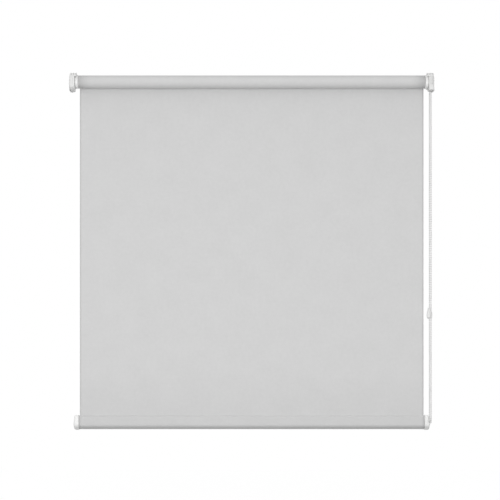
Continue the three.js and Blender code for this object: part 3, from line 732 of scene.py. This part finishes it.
class BLIND_OT_add_chain(bpy.types.Operator):
    """Add the control chain: the free loop and the beads seated on the wheel"""

    bl_idname = "blind.add_chain"
    bl_label = "Chain"

    def execute(self, context):
        sizes = context.scene.blind_sizes
        route = chain_route()
        length = route_length(route)
        count = round(length / sizes.bead_pitch)
        pitch = length / count
        loop = bmesh.new()
        places = [along_route(route, (i + 0.5) * pitch) for i in range(count)]
        add_beads(loop, places, sizes)
        free = add_piece("bead_chain", loop)

        # Half way round the wheel, and one bead below at each side
        seated = bmesh.new()
        radius = route[0].y - axis_y
        around = []
        for i in range(-1, 8):
            angle = math.pi * min(max(i, 0), 6) / 6
            below = sizes.bead_pitch * max(-i, i - 6, 0)
            sine, cosine = math.sin(angle), math.cos(angle)
            place = (route[0].x, axis_y + radius * cosine, radius * sine - below)
            around.append((Vector(place), Vector((0, -sine, cosine))))
        add_beads(seated, around, sizes)
        on_wheel = add_piece("seated_beads", seated)
        return {"FINISHED"}


class BLIND_OT_add_connector(bpy.types.Operator):
    """Add the two shells that join the chain's ends on the back strand"""

    bl_idname = "blind.add_connector"
    bl_label = "Connector"

    def shell(self, middle, half, side):
        """One half of the drop-shaped connector, closed at the seam"""
        sections = (
            (-1.0, 0.5, 0.6),
            (-0.97, 0.62, 0.72),
            (-0.88, 0.8, 0.86),
            (-0.68, 0.955, 0.965),
            (-0.4, 1.0, 1.0),
            (-0.04, 0.965, 1.0),
            (0.32, 0.85, 0.985),
            (0.64, 0.69, 0.95),
            (0.88, 0.58, 0.88),
            (0.97, 0.52, 0.78),
            (1.0, 0.44, 0.68),
        )
        angles = [math.tau * i / 40 for i in range(40)]
        rings = []
        for height, width, depth in sections:
            wide, deep = half.x * width, half.y * depth
            z = middle.z + half.z * height
            rings.append(
                [
                    (middle.x + wide * math.cos(a), middle.y + deep * math.sin(a), z)
                    for a in angles
                ]
            )
        body = loft(rings)
        bmesh.ops.bisect_plane(
            body,
            geom=body.verts[:] + body.edges[:] + body.faces[:],
            plane_co=(0, middle.y + side * 0.00012, 0),
            plane_no=(0, -side, 0),
            clear_outer=True,
        )
        rim = [edge for edge in body.edges if edge.is_boundary]
        bmesh.ops.contextual_create(body, geom=rim)
        bmesh.ops.recalc_face_normals(body, faces=body.faces)
        return body

    def mouth(self, place):
        """What cuts the opening at the foot of the front shell"""
        shape = bmesh.new()
        size = Matrix.Diagonal((0.0042, 0.004, 0.0042, 1))
        where = Matrix.Translation(place) @ size
        bmesh.ops.create_uvsphere(
            shape, u_segments=32, v_segments=16, radius=1.0, matrix=where
        )
        return shape

    def execute(self, context):
        sizes = context.scene.blind_sizes
        low, high = shell_low, Vector((shell_high.x, shell_back, shell_high.z))
        middle, half = (low + high) / 2, (high - low) / 2
        channel = sizes.bead_diameter / 2 + 0.0004
        for name, side in (("front", -1), ("back", 1)):
            bore = bmesh.new()
            add_rod(bore, channel, half.z * 2.4, 24, middle)
            cutters = [bore]
            if name == "front":
                cutters.append(self.mouth((middle.x, low.y, low.z)))
            shell = carve(self.shell(middle, half, side), cutters)
            add_piece(f"connector_shell_{name}", shell, sizes.edge_rounding / 2)
        return {"FINISHED"}


# Cloth


def cut_cloth(width, length, columns, rows):
    """Flat cloth as it was cut, with its own map in metres, not yet hung or wound"""
    shape = bmesh.new()
    bmesh.ops.create_grid(shape, x_segments=columns, y_segments=rows, size=0.5)
    bmesh.ops.scale(shape, vec=(width, length, 1), verts=shape.verts)
    bmesh.ops.translate(shape, vec=(0, length / 2, 0), verts=shape.verts)
    cut = shape.loops.layers.uv.new("Cut")
    for face in shape.faces:
        for corner in face.loops:
            corner[cut].uv = corner.vert.co.xy
    return shape


def face_away(shape, end):
    """Turns wound cloth's faces outward, judged by its top (1) or its foot (-1)"""
    bmesh.ops.recalc_face_normals(shape, faces=shape.faces)
    last = max(shape.faces, key=lambda face: end * face.calc_center_median().z)
    if end * last.normal.z < 0:
        bmesh.ops.reverse_faces(shape, faces=shape.faces)


def add_cloth(name, shape):
    """Cloth with its thickness and its two sides"""
    piece = add_piece(name, shape)
    wall = piece.modifiers.new("Cloth thickness", "SOLIDIFY")
    wall.thickness = bpy.context.scene.blind_sizes.cloth_thickness
    wall.offset = 0
    wall.material_offset = 1
    return piece


def ease(x, drop, reach):
    """How far a hanging cloth leaves its plane, flat towards its held edges"""
    above_bar = max(reach - drop - flat_above_bar, 0) / 0.06
    held = min(drop / 0.03, 1.0) * min(above_bar, 1.0)
    broad = noise.noise(Vector((x * 5.0, drop * 2.2, 0.3)))
    narrow = noise.noise(Vector((x * 17.0, drop * 6.0, 5.1)))
    size = bpy.context.scene.blind_sizes.cloth_ease
    return held * size * (broad + 0.35 * narrow)


class BLIND_OT_add_panel(bpy.types.Operator):
    """Add the hanging cloth, from the back of the roll to the slot of the bottom bar"""

    bl_idname = "blind.add_panel"
    bl_label = "Hanging cloth"

    def execute(self, context):
        reach = panel_high.z - panel_low.z
        width = 2 * roll_half
        shape = cut_cloth(width, reach, columns=150, rows=110)
        for vert in shape.verts:
            x, drop = vert.co.xy
            vert.co = (x, cloth_plane + ease(x, drop, reach), -drop)
        bmesh.ops.reverse_faces(shape, faces=shape.faces)
        panel = add_cloth("hanging_cloth", shape)
        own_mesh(panel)
        return {"FINISHED"}


class BLIND_OT_add_roll(bpy.types.Operator):
    """Add the cloth wound on the tube, one spiral that leaves the tube at the back"""

    bl_idname = "blind.add_roll"
    bl_label = "Wound cloth"

    def execute(self, context):
        thickness = context.scene.blind_sizes.cloth_thickness
        leave = cloth_plane - axis_y
        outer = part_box("fabric_roll")[1].z - thickness / 2
        inner = tube_radius + thickness
        turns = math.floor((outer - inner) / thickness)
        rows = turns * 72  # one for every 5 degrees
        length = turns * math.pi * (outer + inner)
        width = 2 * roll_half
        shape = cut_cloth(width, length, columns=24, rows=rows)
        for vert in shape.verts:
            x, wound = vert.co.xy
            angle = math.tau * turns * wound / length
            radius = outer - (outer - inner) * wound / length
            settle = min(angle / 1.2, 1.0)
            settle = settle * settle * (3 - 2 * settle)
            radius = leave + (radius - leave) * settle
            soft = noise.noise(Vector((x * 7.0, angle * 0.8, 2.7)))
            radius += 0.00008 * soft * settle
            along, up = radius * math.cos(angle), radius * math.sin(angle)
            vert.co = (x, axis_y + along, up)
        face_away(shape, 1)
        roll = add_cloth("wound_cloth", shape)
        return {"FINISHED"}


# Bottom bar


def bar_section(grow_deep, grow_high, steps):
    """Section of the bottom bar as (y, z) points, from the front top edge round"""
    front = wrap_low.y - grow_deep
    back = wrap_high.y + grow_deep
    top = wrap_high.z + grow_high
    front_edge = max(0.0014 + grow_deep, 0.0006)
    back_edge = max(0.004 + grow_deep, 0.0006)
    belly = 0.012 + grow_deep
    tip = max(0.0009 + grow_deep, 0.0004)
    belly_z = wrap_low.z - bar_sag + 0.0151
    tip_z = wrap_low.z - bar_sag - grow_high + tip
    apart = (back - tip - front - belly, tip_z - belly_z)
    slope = math.atan2(apart[1], apart[0]) % math.tau
    slope -= math.acos((belly - tip) / math.hypot(*apart))
    half = math.pi / 2
    arcs = (
        (front + front_edge, top - front_edge, front_edge, half, 2 * half),
        (front + belly, belly_z, belly, 2 * half, slope),
        (back - tip, tip_z, tip, slope, 4 * half),
        (back - back_edge, top - back_edge, back_edge, 0, half),
    )
    points = []
    for arc in arcs:
        for point in arc_points(*arc, steps):
            if not points or math.dist(point, points[-1]) > 1e-6:
                points.append(point)
    return points


def wrap_path(sizes):
    """The line of the bar's cloth, from the slot's front lip round to its back lip"""
    slim = -sizes.cloth_thickness / 2
    top = wrap_high.z + slim
    section = bar_section(slim, slim, 24)
    return [(cloth_plane - 0.0005, top), *section, (cloth_plane + 0.0014, top)]


class BLIND_OT_add_bar(bpy.types.Operator):
    """Add the cloth wrapped round the bottom bar, the bar and its two end caps"""

    bl_idname = "blind.add_bar"
    bl_label = "Bottom bar"

    def wrap(self, sizes):
        """The cloth, wound round the bar and into its slot"""
        path = [Vector((0, y, z)) for y, z in wrap_path(sizes)]
        reach = route_length(path)
        width = wrap_high.x - wrap_low.x
        shape = cut_cloth(width, reach, columns=90, rows=120)
        for vert in shape.verts:
            x, wound = vert.co.xy
            place, forward = along_route(path, wound)
            outward = forward.cross((1, 0, 0))
            soft = noise.noise(Vector((x * 11.0, wound * 40.0, 8.2)))
            held = min(min(wound, reach - wound) / 0.004, 1.0)
            lift = 0.00012 * soft * held
            vert.co = place + outward * lift + Vector((x, 0, 0))
        face_away(shape, -1)
        wrap = add_cloth("bar_cloth", shape)

    def extrusion(self):
        """The aluminium bar inside its cloth, with the slot that grips the cloth"""
        section = bar_section(-0.0008, -0.0008, 10)
        ends = (wrap_low.x, wrap_high.x)
        bar = loft([[(x, y, z) for y, z in section] for x in ends])
        slot_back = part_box("cloth_strip")[1].y + 0.0003
        slot = block(
            (wrap_low.x - 0.001, panel_low.y - 0.0003, panel_low.z - 0.0003),
            (wrap_high.x + 0.001, slot_back, wrap_high.z + 0.001),
        )
        return carve(bar, [slot])

    def cap(self):
        """The right-hand cap, rounded at its rim and bowed on its outer face"""
        wide, tall = 0.0004, 0.0018
        rounding = 0.0032
        inner = wrap_high.x + seam
        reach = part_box("bar_cap_right")[1].x + 0.0012 - inner
        rings = [[(inner, y, z) for y, z in bar_section(wide, tall, 8)]]
        steps = 14
        for i in range(steps + 1):
            angle = math.pi / 2 * i / steps
            inset = rounding * (1 - math.cos(angle))
            x = inner + reach - rounding * 1.3 * (1 - math.sin(angle))
            section = bar_section(wide - inset, tall - inset, 8)
            rings.append([(x, y, z) for y, z in section])
        cap = loft(rings)
        for vert in cap.verts:
            height = (vert.co.z - wrap_low.z) / (wrap_high.z - wrap_low.z)
            bow = 0.009 * (height - 0.42) ** 2
            vert.co.x -= bow * (vert.co.x - inner) / reach
        return cap

    def execute(self, context):
        sizes = context.scene.blind_sizes
        self.wrap(sizes)
        add_piece("bar_extrusion", self.extrusion())
        add_piece("end_cap_right", self.cap(), sizes.edge_rounding)
        add_piece("end_cap_left", mirror_shape(self.cap()), sizes.edge_rounding)
        return {"FINISHED"}


# Brackets


def side_corners(x, low, high, share, insets=(0, 0, 0, 0), back_bottom=0.008):
    """Corners and radii of a bracket's side outline, drawn in at its four sides"""
    back, front, top, bottom = insets
    corners = [
        (x, high.y - back, high.z - top),
        (x, low.y + front, high.z - top),
        (x, low.y + front, low.z + bottom),
        (x, high.y - back, low.z + bottom),
    ]
    tall = plate_high.z - plate_low.z
    least = 0.0004 + max(insets) * 0.15
    radii = (0.002, 0.006, tall * share, back_bottom)
    drawn = (min(back, top), min(front, top), min(front, bottom), min(back, bottom))
    return corners, [max(r - d, least) for r, d in zip(radii, drawn)]


def slot_places():
    """Middles of a right-hand bracket's screw slots: in the ceiling, then the wall"""
    front, top = plate_low.y, plate_high.z
    tall = top - plate_low.z
    ceiling = [Vector((slot_x, front * share, top)) for share in (0.27, 0.76)]
    wall = [Vector((slot_x, 0, top - tall * share)) for share in (0.244, 0.605)]
    return ceiling, wall


def corner_section(wide, tall):
    """Section that rounds a corner: the corner less its arc, seen from the centre"""
    section = [(1.3, -0.3), (1.3, 1.3), (-0.3, 1.3), (-0.3, 1.004)]
    section += arc_points(0, 0, 1, math.pi / 2, 0, 12)
    section.append((1.004, -0.3))
    return [(a * wide, b * tall) for a, b in section]


def side_inset(z):
    """How far the bracket's outer side is drawn in at a height"""
    wide, tall = side_curve
    share = min(max((z - plate_high.z) / tall + 1, 0), 1)
    return wide * (1 - math.sqrt(1 - share * share))


def edge_cutter():
    """What draws the bracket's outer side in towards its top"""
    wide, tall = side_curve
    x, z = plate_high.x - wide, plate_high.z - tall
    ends = (plate_low.y - 0.002, 0.002)
    section = corner_section(wide, tall)
    return loft([[(x + a, y, z + b) for a, b in section] for y in ends])


def front_edge_cutter():
    """What rounds a housing's upright edge in front, towards the roller"""
    radius = 0.0026
    x, y = cup_low.x + radius, cup_low.y + radius
    ends = (cup_low.z - 0.002, cup_high.z + 0.002)
    section = corner_section(radius, radius)
    return loft([[(x - a, y - b, z) for a, b in section] for z in ends])


def side_plate(inner, share):
    """The bracket's side"""
    plate = bmesh.new()
    loop = corner_loop(plate, *side_corners(inner, plate_low, plate_high, share))
    return thicken(plate, loop, (plate_high.x - inner, 0, 0))


def wall_plate(sizes, outer):
    """The plate on the wall with its two slots, narrower below its shoulder"""
    left, lower = plate_low.x + 0.0026, plate_low.x + 0.014
    foot, shoulder = plate_low.z + 0.008, plate_low.z + 0.0125
    top = plate_high.z - 0.0002
    outline = [(left, 0, top), (left, 0, shoulder), (lower, 0, shoulder)]
    outline += [(lower, 0, foot), (outer, 0, foot), (outer, 0, top)]
    plate = bmesh.new()
    edges = corner_loop(plate, outline, [0, 0.0015, 0.0015, 0.001], 5)
    for place in slot_places()[1]:
        edges += slot_loop(plate, place, (1, 0, 0), (0, 0, 1), sizes)
    return thicken(plate, edges, (0, -sizes.plate_thickness, 0))


def notches():
    """Start and end of each notch along the bracket's front edge"""
    starts = [plate_low.x + 0.0021 + notch_pitch * i for i in range(3)]
    return [(start, start + notch_width) for start in starts]


def ceiling_plate(sizes, inner, outer):
    """The plate under the ceiling, with two slots, notches and a cut-back corner"""
    front, left, top = plate_low.y, plate_low.x, plate_high.z
    cut_back, behind_lip = left + 0.0038, front + 0.006
    outline = [(outer, 0), (cut_back, 0), (cut_back, front + 0.0065)]
    outline += [(left, front + 0.0025), (left, front)]
    for near, far in notches():
        outline += [(near, front), (near, front + notch_depth)]
        outline += [(far, front + notch_depth), (far, front)]
    outline += [(inner, front), (inner, behind_lip), (outer, behind_lip)]
    plate = bmesh.new()
    corners = [(x, y, top) for x, y in outline]
    edges = corner_loop(plate, corners, [0, 0, 0.003, 0.001, 0.001], 8)
    for place in slot_places()[0]:
        edges += slot_loop(plate, place, (1, 0, 0), (0, 1, 0), sizes)
    return thicken(plate, edges, (0, 0, -0.0018))


def front_lip(inner):
    """The lip that hangs from the ceiling plate's front edge, notched from above"""
    left, end, top = plate_low.x + 0.0006, inner + 0.0002, plate_high.z
    low, notch, high = top - 0.0086, top - 0.0056, top - 0.0012
    outline = [(left, low), (left, high)]
    for near, far in notches():
        outline += [(near, high), (near, notch), (far, notch), (far, high)]
    outline += [(end, high), (end, low)]
    lip = bmesh.new()
    corners = [(x, plate_low.y + 0.0001, z) for x, z in outline]
    return thicken(lip, corner_loop(lip, corners, [0.001], 5), (0, notch_depth, 0))


def bracket_shape(sizes, share):
    """Side plate, wall plate and ceiling plate with their slots, and the front lip"""
    inner, outer = plate_high.x - sizes.plate_thickness, plate_high.x - 0.0003
    shape = carve(side_plate(inner, share), [edge_cutter()])
    for part in (
        wall_plate(sizes, outer),
        ceiling_plate(sizes, inner, outer),
        front_lip(inner),
    ):
        join_shape(shape, carve(part, [edge_cutter()]))
    return shape


class BLIND_OT_add_brackets(bpy.types.Operator):
    """Add the two universal brackets, for wall or ceiling"""

    bl_idname = "blind.add_brackets"
    bl_label = "Brackets"

    def execute(self, context):
        sizes = context.scene.blind_sizes
        for name, share in front_rounding.items():
            shape = bracket_shape(sizes, share)
            if name == "idle":
                mirror_shape(shape)
            add_piece(f"{name}_side_bracket", shape, sizes.edge_rounding)
        return {"FINISHED"}


class BLIND_OT_add_covers(bpy.types.Operator):
    """Add the domed snap covers on the outside of the brackets"""

    bl_idname = "blind.add_covers"
    bl_label = "Snap covers"

    def ring(self, x, share, insets, follow):
        """Outline of the bracket's side at a depth, drawn in on its four sides"""
        corners, radii = side_corners(x, plate_low, plate_high, share, insets)
        signs = ((-1, -1), (1, -1), (1, 1), (-1, 1))
        quarter = math.pi / 2
        points = []
        for turn, (corner, radius, (sy, sz)) in enumerate(zip(corners, radii, signs)):
            y, z = corner[1] + sy * radius, corner[2] + sz * radius
            start = quarter * turn
            for along, up in arc_points(y, z, radius, start, start + quarter, 12):
                points.append((x - side_inset(up) * follow, along, up))
        return points

    def dome(self, start, depth, share, wall):
        """Rings of a dome that rises softly in front and above, steeply from below"""
        steps = 20
        tall = plate_high.z - plate_low.z
        soft = (tall * 0.14, tall * 0.62, tall * 0.4, tall * 0.03)
        rings = []
        for i in range(steps + 1):
            share_in = 1 - math.cos(math.pi / 2 * i / steps)
            rise = math.sin(math.pi / 2 * share_in) ** 2
            insets = [wall + side * share_in for side in soft]
            insets[2] += side_curve[0] * 0.75
            x = start + depth * rise
            rings.append(self.ring(x, share, insets, 1 - rise))
        return rings

    def execute(self, context):
        wall = 0.0015
        start = plate_high.x + seam
        rounding = context.scene.blind_sizes.edge_rounding
        depth = cover_high.x - start
        for name, share in front_rounding.items():
            inside = self.dome(start, depth - wall, share, wall)
            outside = self.dome(start, depth, share, 0)
            shape = loft(inside[::-1] + outside)
            if name == "idle":
                mirror_shape(shape)
            add_piece(f"{name}_snap_cover", shape, rounding)
        return {"FINISHED"}


class BLIND_OT_add_housings(bpy.types.Operator):
    """Add the bearing housings: the chain guard, and the cup that holds the idle pin"""

    bl_idname = "blind.add_housings"
    bl_label = "Bearing housings"

    def side_solid(self, start, end, share, inset, back_bottom):
        """The housing's outline, drawn in all round, as a solid between two places"""
        solid = bmesh.new()
        corners, radii = side_corners(
            start, cup_low, cup_high, share, [inset] * 4, back_bottom
        )
        loop = corner_loop(solid, corners, radii)
        return thicken(solid, loop, (end - start, 0, 0))

    def pocket(self, sizes, place, across, step):
        """What cuts the way to a screw's head through a cup"""
        shape = bmesh.new()
        loop = slot_loop(shape, place, (1, 0, 0), across, sizes, head_room)
        return thicken(shape, loop, step)

    def cup(self, sizes, inner, side):
        """A shallow cup, open towards the side plate, and what is cut from it"""
        rim, wall, sunk = 0.0015, 0.0017, 0.003
        outer = cup_high.x
        share, back = front_rounding[side], back_rounding[side]
        solid = self.side_solid(inner, outer, share, 0, back)
        cutters = [self.side_solid(inner + wall, outer + 0.01, share, rim, back)]
        ceiling, walls = slot_places()
        for slot in ceiling:
            place = (slot.x, slot.y, cup_high.z - sunk)
            cutters.append(self.pocket(sizes, place, (0, 1, 0), (0, 0, 2 * sunk)))
        for slot in walls:
            place = (slot.x, cup_high.y - sunk, slot.z)
            cutters.append(self.pocket(sizes, place, (0, 0, 1), (0, 2 * sunk, 0)))
        return solid, cutters

    def through_hole(self, inner, radius):
        """What cuts a round hole through a cup's inner wall"""
        start, end = inner - 0.002, inner + 0.004
        profile = [(start, 0), (start, radius), (end, radius), (end, 0)]
        return turned(profile, closed=False)

    def recess(self, inner, end):
        """The tall recess in the guard's front: what cuts it, and its lining"""
        front, foot, thick = cup_low.y, -0.0085, 0.0008
        scoop, liner = [], []
        for x, deep in ((inner, 0.0026), (end, 0.0056)):
            over = 0.001 if x == inner else 0
            before, bed = front - 0.002, front + deep
            high, face = 0.0115 + deep * 1.1, front + deep * 0.2
            cut = [(before, high), (before, foot), (bed, foot), (face, high - thick)]
            scoop.append([(x - over, y, z) for y, z in cut])
            below = foot - 0.0025
            lining = [(face, high), (bed, foot), (bed, below)]
            lining += [(bed + thick, below), (bed + thick, foot), (face + thick, high)]
            liner.append([(x + 0.0006, y, z) for y, z in lining])
        return loft(scoop), loft(liner)

    def guard(self, sizes):
        """The chain guard: the chain's ways out below, a recess and a keeper"""
        inner, outer = cup_low.x, cup_high.x
        route = chain_route()
        bead = sizes.bead_diameter / 2
        wheel_radius = route[0].y - axis_y
        half = bead + 0.0012
        hub = 0.01
        low = cup_low.z - 0.002
        solid, cutters = self.cup(sizes, inner, "control")
        scoop, liner = self.recess(inner, route[0].x + 0.004)
        cutters.append(self.through_hole(inner, hub))
        for side in (-1, 1):
            strand = axis_y + side * wheel_radius
            near = (route[0].x - half, strand - half, low)
            far = (route[0].x + half, strand + half, low + 0.01)
            cutters.append(block(near, far))
        back_top = cup_low.z + 0.0073
        back_way = block((inner - 0.002, -0.03, low), (inner + 0.0035, 0.002, back_top))
        shape = carve(solid, [*cutters, scoop, back_way, front_edge_cutter()])
        join_shape(shape, liner)

        near = wheel_radius + bead + 0.0006
        far = near + 0.0012
        wall = inner + 0.0009
        start = math.asin(wheel_radius / 2 / near)
        keeper = turned(
            [(wall, near), (outer, near), (outer, far), (wall, far)],
            24,
            start=start,
            sweep=math.pi - 2 * start,
        )
        join_shape(shape, keeper)
        return shape

    def apron(self, inner, share):
        """The idle housing's front and underside, towards the roller"""
        start, wall, corner = cup_low.x, 0.0015, 0.008
        solid = self.side_solid(start, inner + 0.0002, share, 0, corner)
        hollow = self.side_solid(start + wall, inner + 0.002, share, wall, corner)
        behind = block(
            (start - 0.002, plate_low.y + 0.016, cup_low.z - 0.002),
            (inner + 0.002, 0.002, cup_high.z + 0.002),
        )
        return carve(solid, [hollow, behind, front_edge_cutter()])

    def pin_cup(self, sizes):
        """The idle side's cup, with the boss and the blind bore that the pin runs in"""
        inner, outer = -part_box("idle_housing")[1].x, cup_high.x
        end = 0.0007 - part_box("idle_pin")[0].x
        wall = inner + 0.0009
        thick = pin_bore + 0.0033
        solid, cutters = self.cup(sizes, inner, "idle")
        shape = carve(solid, [*cutters, self.through_hole(inner, pin_bore)])
        join_shape(shape, self.apron(inner, front_rounding["idle"]))
        boss = [(outer, 0), (outer, thick), (wall, thick)]
        boss += [(wall, pin_bore), (end, pin_bore), (end, 0)]
        join_shape(shape, turned(boss, closed=False))
        return mirror_shape(shape)

    def execute(self, context):
        sizes = context.scene.blind_sizes
        add_piece("chain_guard_cup", self.guard(sizes), sizes.edge_rounding / 2)
        add_piece("idle_pin_cup", self.pin_cup(sizes), sizes.edge_rounding / 2)
        return {"FINISHED"}


class BLIND_OT_add_plugs(bpy.types.Operator):
    """Add the keyed end plugs, whose flanges show between the cloth and the brackets"""

    bl_idname = "blind.add_plugs"
    bl_label = "End plugs"

    def plug(self, radius, bore):
        """A plug with its flange, its bore and two grooves for the tube's keys"""
        inner, outer = plug_low.x, plug_high.x
        shoulder = roll_half + 0.0003
        fit = tube_radius - 0.0013
        chamfer, rim = 0.0008, 0.0003
        boss, floor = bore + 0.003, inner + 0.003
        profile = [
            (inner, fit - chamfer),
            (inner + chamfer, fit),
            (shoulder, fit),
            (shoulder, radius - rim),
            (shoulder + rim, radius),
            (outer + 0.0008, radius),
            (outer + 0.0011, radius - rim),
            (outer + 0.0011, radius - 0.0035),
            (outer, radius - 0.0036),
            (outer, boss),
            (outer - 0.0006, boss - 0.0006),
            (outer - 0.0006, bore),
            (floor, bore),
            (floor, 0.0035),
            (inner, 0.0035),
        ]
        left, right = axis_y - 0.0015, axis_y + 0.0015
        grooves = [
            block((inner - 0.002, left, low), (shoulder, right, high))
            for low, high in ((0.0112, 0.015), (-0.015, -0.0112))
        ]
        return carve(turned(profile, 72), grooves)

    def execute(self, context):
        clutch_bore = 0.00964
        drive = self.plug(plug_high.z, clutch_bore)
        idle = self.plug(idle_high.z, pin_bore)
        add_piece("drive_end_plug", drive)
        add_piece("idle_end_plug", mirror_shape(idle))
        return {"FINISHED"}


class BLIND_OT_finish_hardware(bpy.types.Operator):
    """Give the tube, the clutch, the pin and the cloth strip their looks"""

    bl_idname = "blind.finish_hardware"
    bl_label = "Inner hardware"

    def execute(self, context):
        hardware = {
            "drawn": ("roller_tube",),
            "plated": (
                "idle_pin",
                "pin_spring",
                "clutch_spring_inner",
                "clutch_spring_outer",
                "spindle_clip",
                "spindle_screw",
            ),
            "inner": ("drive_spindle", "chain_wheel", "cloth_strip"),
        }
        for look, names in hardware.items():
            for name in names:
                slot = nodes[name].material_slots[0]
                slot.link = "OBJECT"
                slot.material = material_of(look)
        return {"FINISHED"}


# Studio


class BLIND_OT_add_studio(bpy.types.Operator):
    """Add the camera, the pale floor, the soft light and the white surroundings"""

    bl_idname = "blind.add_studio"
    bl_label = "Studio"

    def lamp(self, name, place, aim, size, power):
        """One soft area lamp aimed at a point"""
        data = bpy.data.lights.new(name, "AREA")
        data.shape = "RECTANGLE"
        data.size, data.size_y = size
        data.energy = power
        made = add_object(name, data)
        made.location = place
        made.rotation_mode = "QUATERNION"
        toward = Vector(aim) - Vector(place)
        made.rotation_quaternion = toward.to_track_quat("-Z", "Y")

    def shown_apart(self, tree, lighting, shown):
        """A surface that lights the blind as one shader and is seen as another"""
        path = add_node(tree, "ShaderNodeLightPath").outputs
        seen = sum_of(tree, "MAXIMUM", path["Is Camera Ray"], path["Is Glossy Ray"])
        seen = sum_of(tree, "MAXIMUM", seen, path["Is Transmission Ray"])
        inputs = {0: seen, 1: lighting.outputs[0], 2: shown.outputs[0]}
        return add_node(tree, "ShaderNodeMixShader", inputs).outputs[0]

    def surroundings(self):
        """White as seen; as light, weaker at the sides and below, stronger behind"""
        world = bpy.data.worlds.new("Studio")
        world.use_nodes = True
        tree = world.node_tree
        tree.nodes.clear()
        toward = add_node(tree, "ShaderNodeTexCoord").outputs["Generated"]
        parts = add_node(tree, "ShaderNodeSeparateXYZ", {0: toward}).outputs
        below = sum_of(tree, "MULTIPLY", parts["Z"], 0.5)
        above = sum_of(tree, "MULTIPLY", parts["Z"], 0.12)
        slope = sum_of(tree, "MINIMUM", below, above)
        sideways = sum_of(tree, "MULTIPLY", parts["X"], parts["X"])
        weaker = sum_of(tree, "MULTIPLY_ADD", sideways, -0.4, slope)
        behind = sum_of(tree, "MAXIMUM", parts["Y"], 0.0)
        stronger = sum_of(tree, "MULTIPLY_ADD", behind, 0.35, weaker)
        white = {"Color": (1, 1, 1, 1), "Strength": 1.0}
        light = {**white, "Strength": sum_of(tree, "ADD", stronger, 0.67)}
        lighting = add_node(tree, "ShaderNodeBackground", light)
        shown = add_node(tree, "ShaderNodeBackground", white)
        surface = self.shown_apart(tree, lighting, shown)
        add_node(tree, "ShaderNodeOutputWorld", {"Surface": surface})
        return world

    def floor(self):
        """A pale floor that throws little light up on the blind"""
        ground = bmesh.new()
        bmesh.ops.create_grid(ground, x_segments=1, y_segments=1, size=1.3)
        bmesh.ops.translate(ground, vec=(0, 0, -1.32), verts=ground.verts)
        floor = add_object("Floor", mesh_of(ground, "Floor"))
        pale, tree, shader = start_material("Pale floor")
        shader.inputs["Base Color"].default_value = (0.15, 0.15, 0.15, 1)
        shader.inputs["Roughness"].default_value = 1.0
        shader.inputs["Specular IOR Level"].default_value = 0.0
        matt = add_node(tree, "ShaderNodeBsdfDiffuse", {"Color": (0.4, 0.4, 0.4, 1)})
        glow = add_node(tree, "ShaderNodeEmission", {"Strength": 0.7})
        both = {0: matt.outputs[0], 1: glow.outputs[0]}
        shown = add_node(tree, "ShaderNodeAddShader", both)
        surface = self.shown_apart(tree, shader, shown)
        end = next(n for n in tree.nodes if n.type == "OUTPUT_MATERIAL")
        tree.links.new(surface, end.inputs["Surface"])
        floor.data.materials.append(pale)

    def execute(self, context):
        scene = context.scene
        scene.view_settings.view_transform = "Standard"
        camera = add_object("Camera", bpy.data.cameras.new("Camera"))
        camera.data.lens = 73.7
        camera.data.sensor_width = 36
        camera.location = (-0.0046, -2.763, -0.4477)
        camera.rotation_euler = (math.pi / 2, 0, 0)
        scene.camera = camera
        scene.world = self.surroundings()
        self.floor()
        self.lamp("Key", (-0.25, -4.0, -1.05), (0, 0, -0.8), (3.0, 2.8), 104)
        return {"FINISHED"}


class BLIND_PT_pieces(bpy.types.Panel):
    """Sizes, colours and pieces of the roller blind"""

    bl_label = "Roller Blind"
    bl_space_type = "VIEW_3D"
    bl_region_type = "UI"
    bl_category = "Blind"

    def draw(self, context):
        layout = self.layout
        for group in (context.scene.blind_sizes, context.scene.blind_colours):
            box = layout.box()
            for name in group.bl_rna.properties.keys():
                if name not in {"rna_type", "name"}:
                    box.prop(group, name)
        for operator in operators:
            layout.operator(operator.bl_idname)


operators = (
    BLIND_OT_add_studio,
    BLIND_OT_add_chain,
    BLIND_OT_add_connector,
    BLIND_OT_add_panel,
    BLIND_OT_add_roll,
    BLIND_OT_add_bar,
    BLIND_OT_add_brackets,
    BLIND_OT_add_covers,
    BLIND_OT_add_housings,
    BLIND_OT_add_plugs,
    BLIND_OT_finish_hardware,
)
classes = (BlindSizes, BlindColours, *operators, BLIND_PT_pieces)


def register():
    """Registers the add-on's classes and its settings on the scene"""
    for item in classes:
        bpy.utils.register_class(item)
    bpy.types.Scene.blind_sizes = bpy.props.PointerProperty(type=BlindSizes)
    bpy.types.Scene.blind_colours = bpy.props.PointerProperty(type=BlindColours)


def unregister():
    """Removes the settings and the classes"""
    del bpy.types.Scene.blind_colours
    del bpy.types.Scene.blind_sizes
    for item in reversed(classes):
        bpy.utils.unregister_class(item)


def main():
    """Builds the blind and its studio"""
    register()
    bpy.ops.blind.add_studio()
    bpy.ops.blind.add_chain()
    bpy.ops.blind.add_connector()
    bpy.ops.blind.add_panel()
    bpy.ops.blind.add_roll()
    bpy.ops.blind.add_bar()
    bpy.ops.blind.add_brackets()
    bpy.ops.blind.add_covers()
    bpy.ops.blind.add_housings()
    bpy.ops.blind.add_plugs()
    bpy.ops.blind.finish_hardware()


if __name__ == "__main__":
    main()
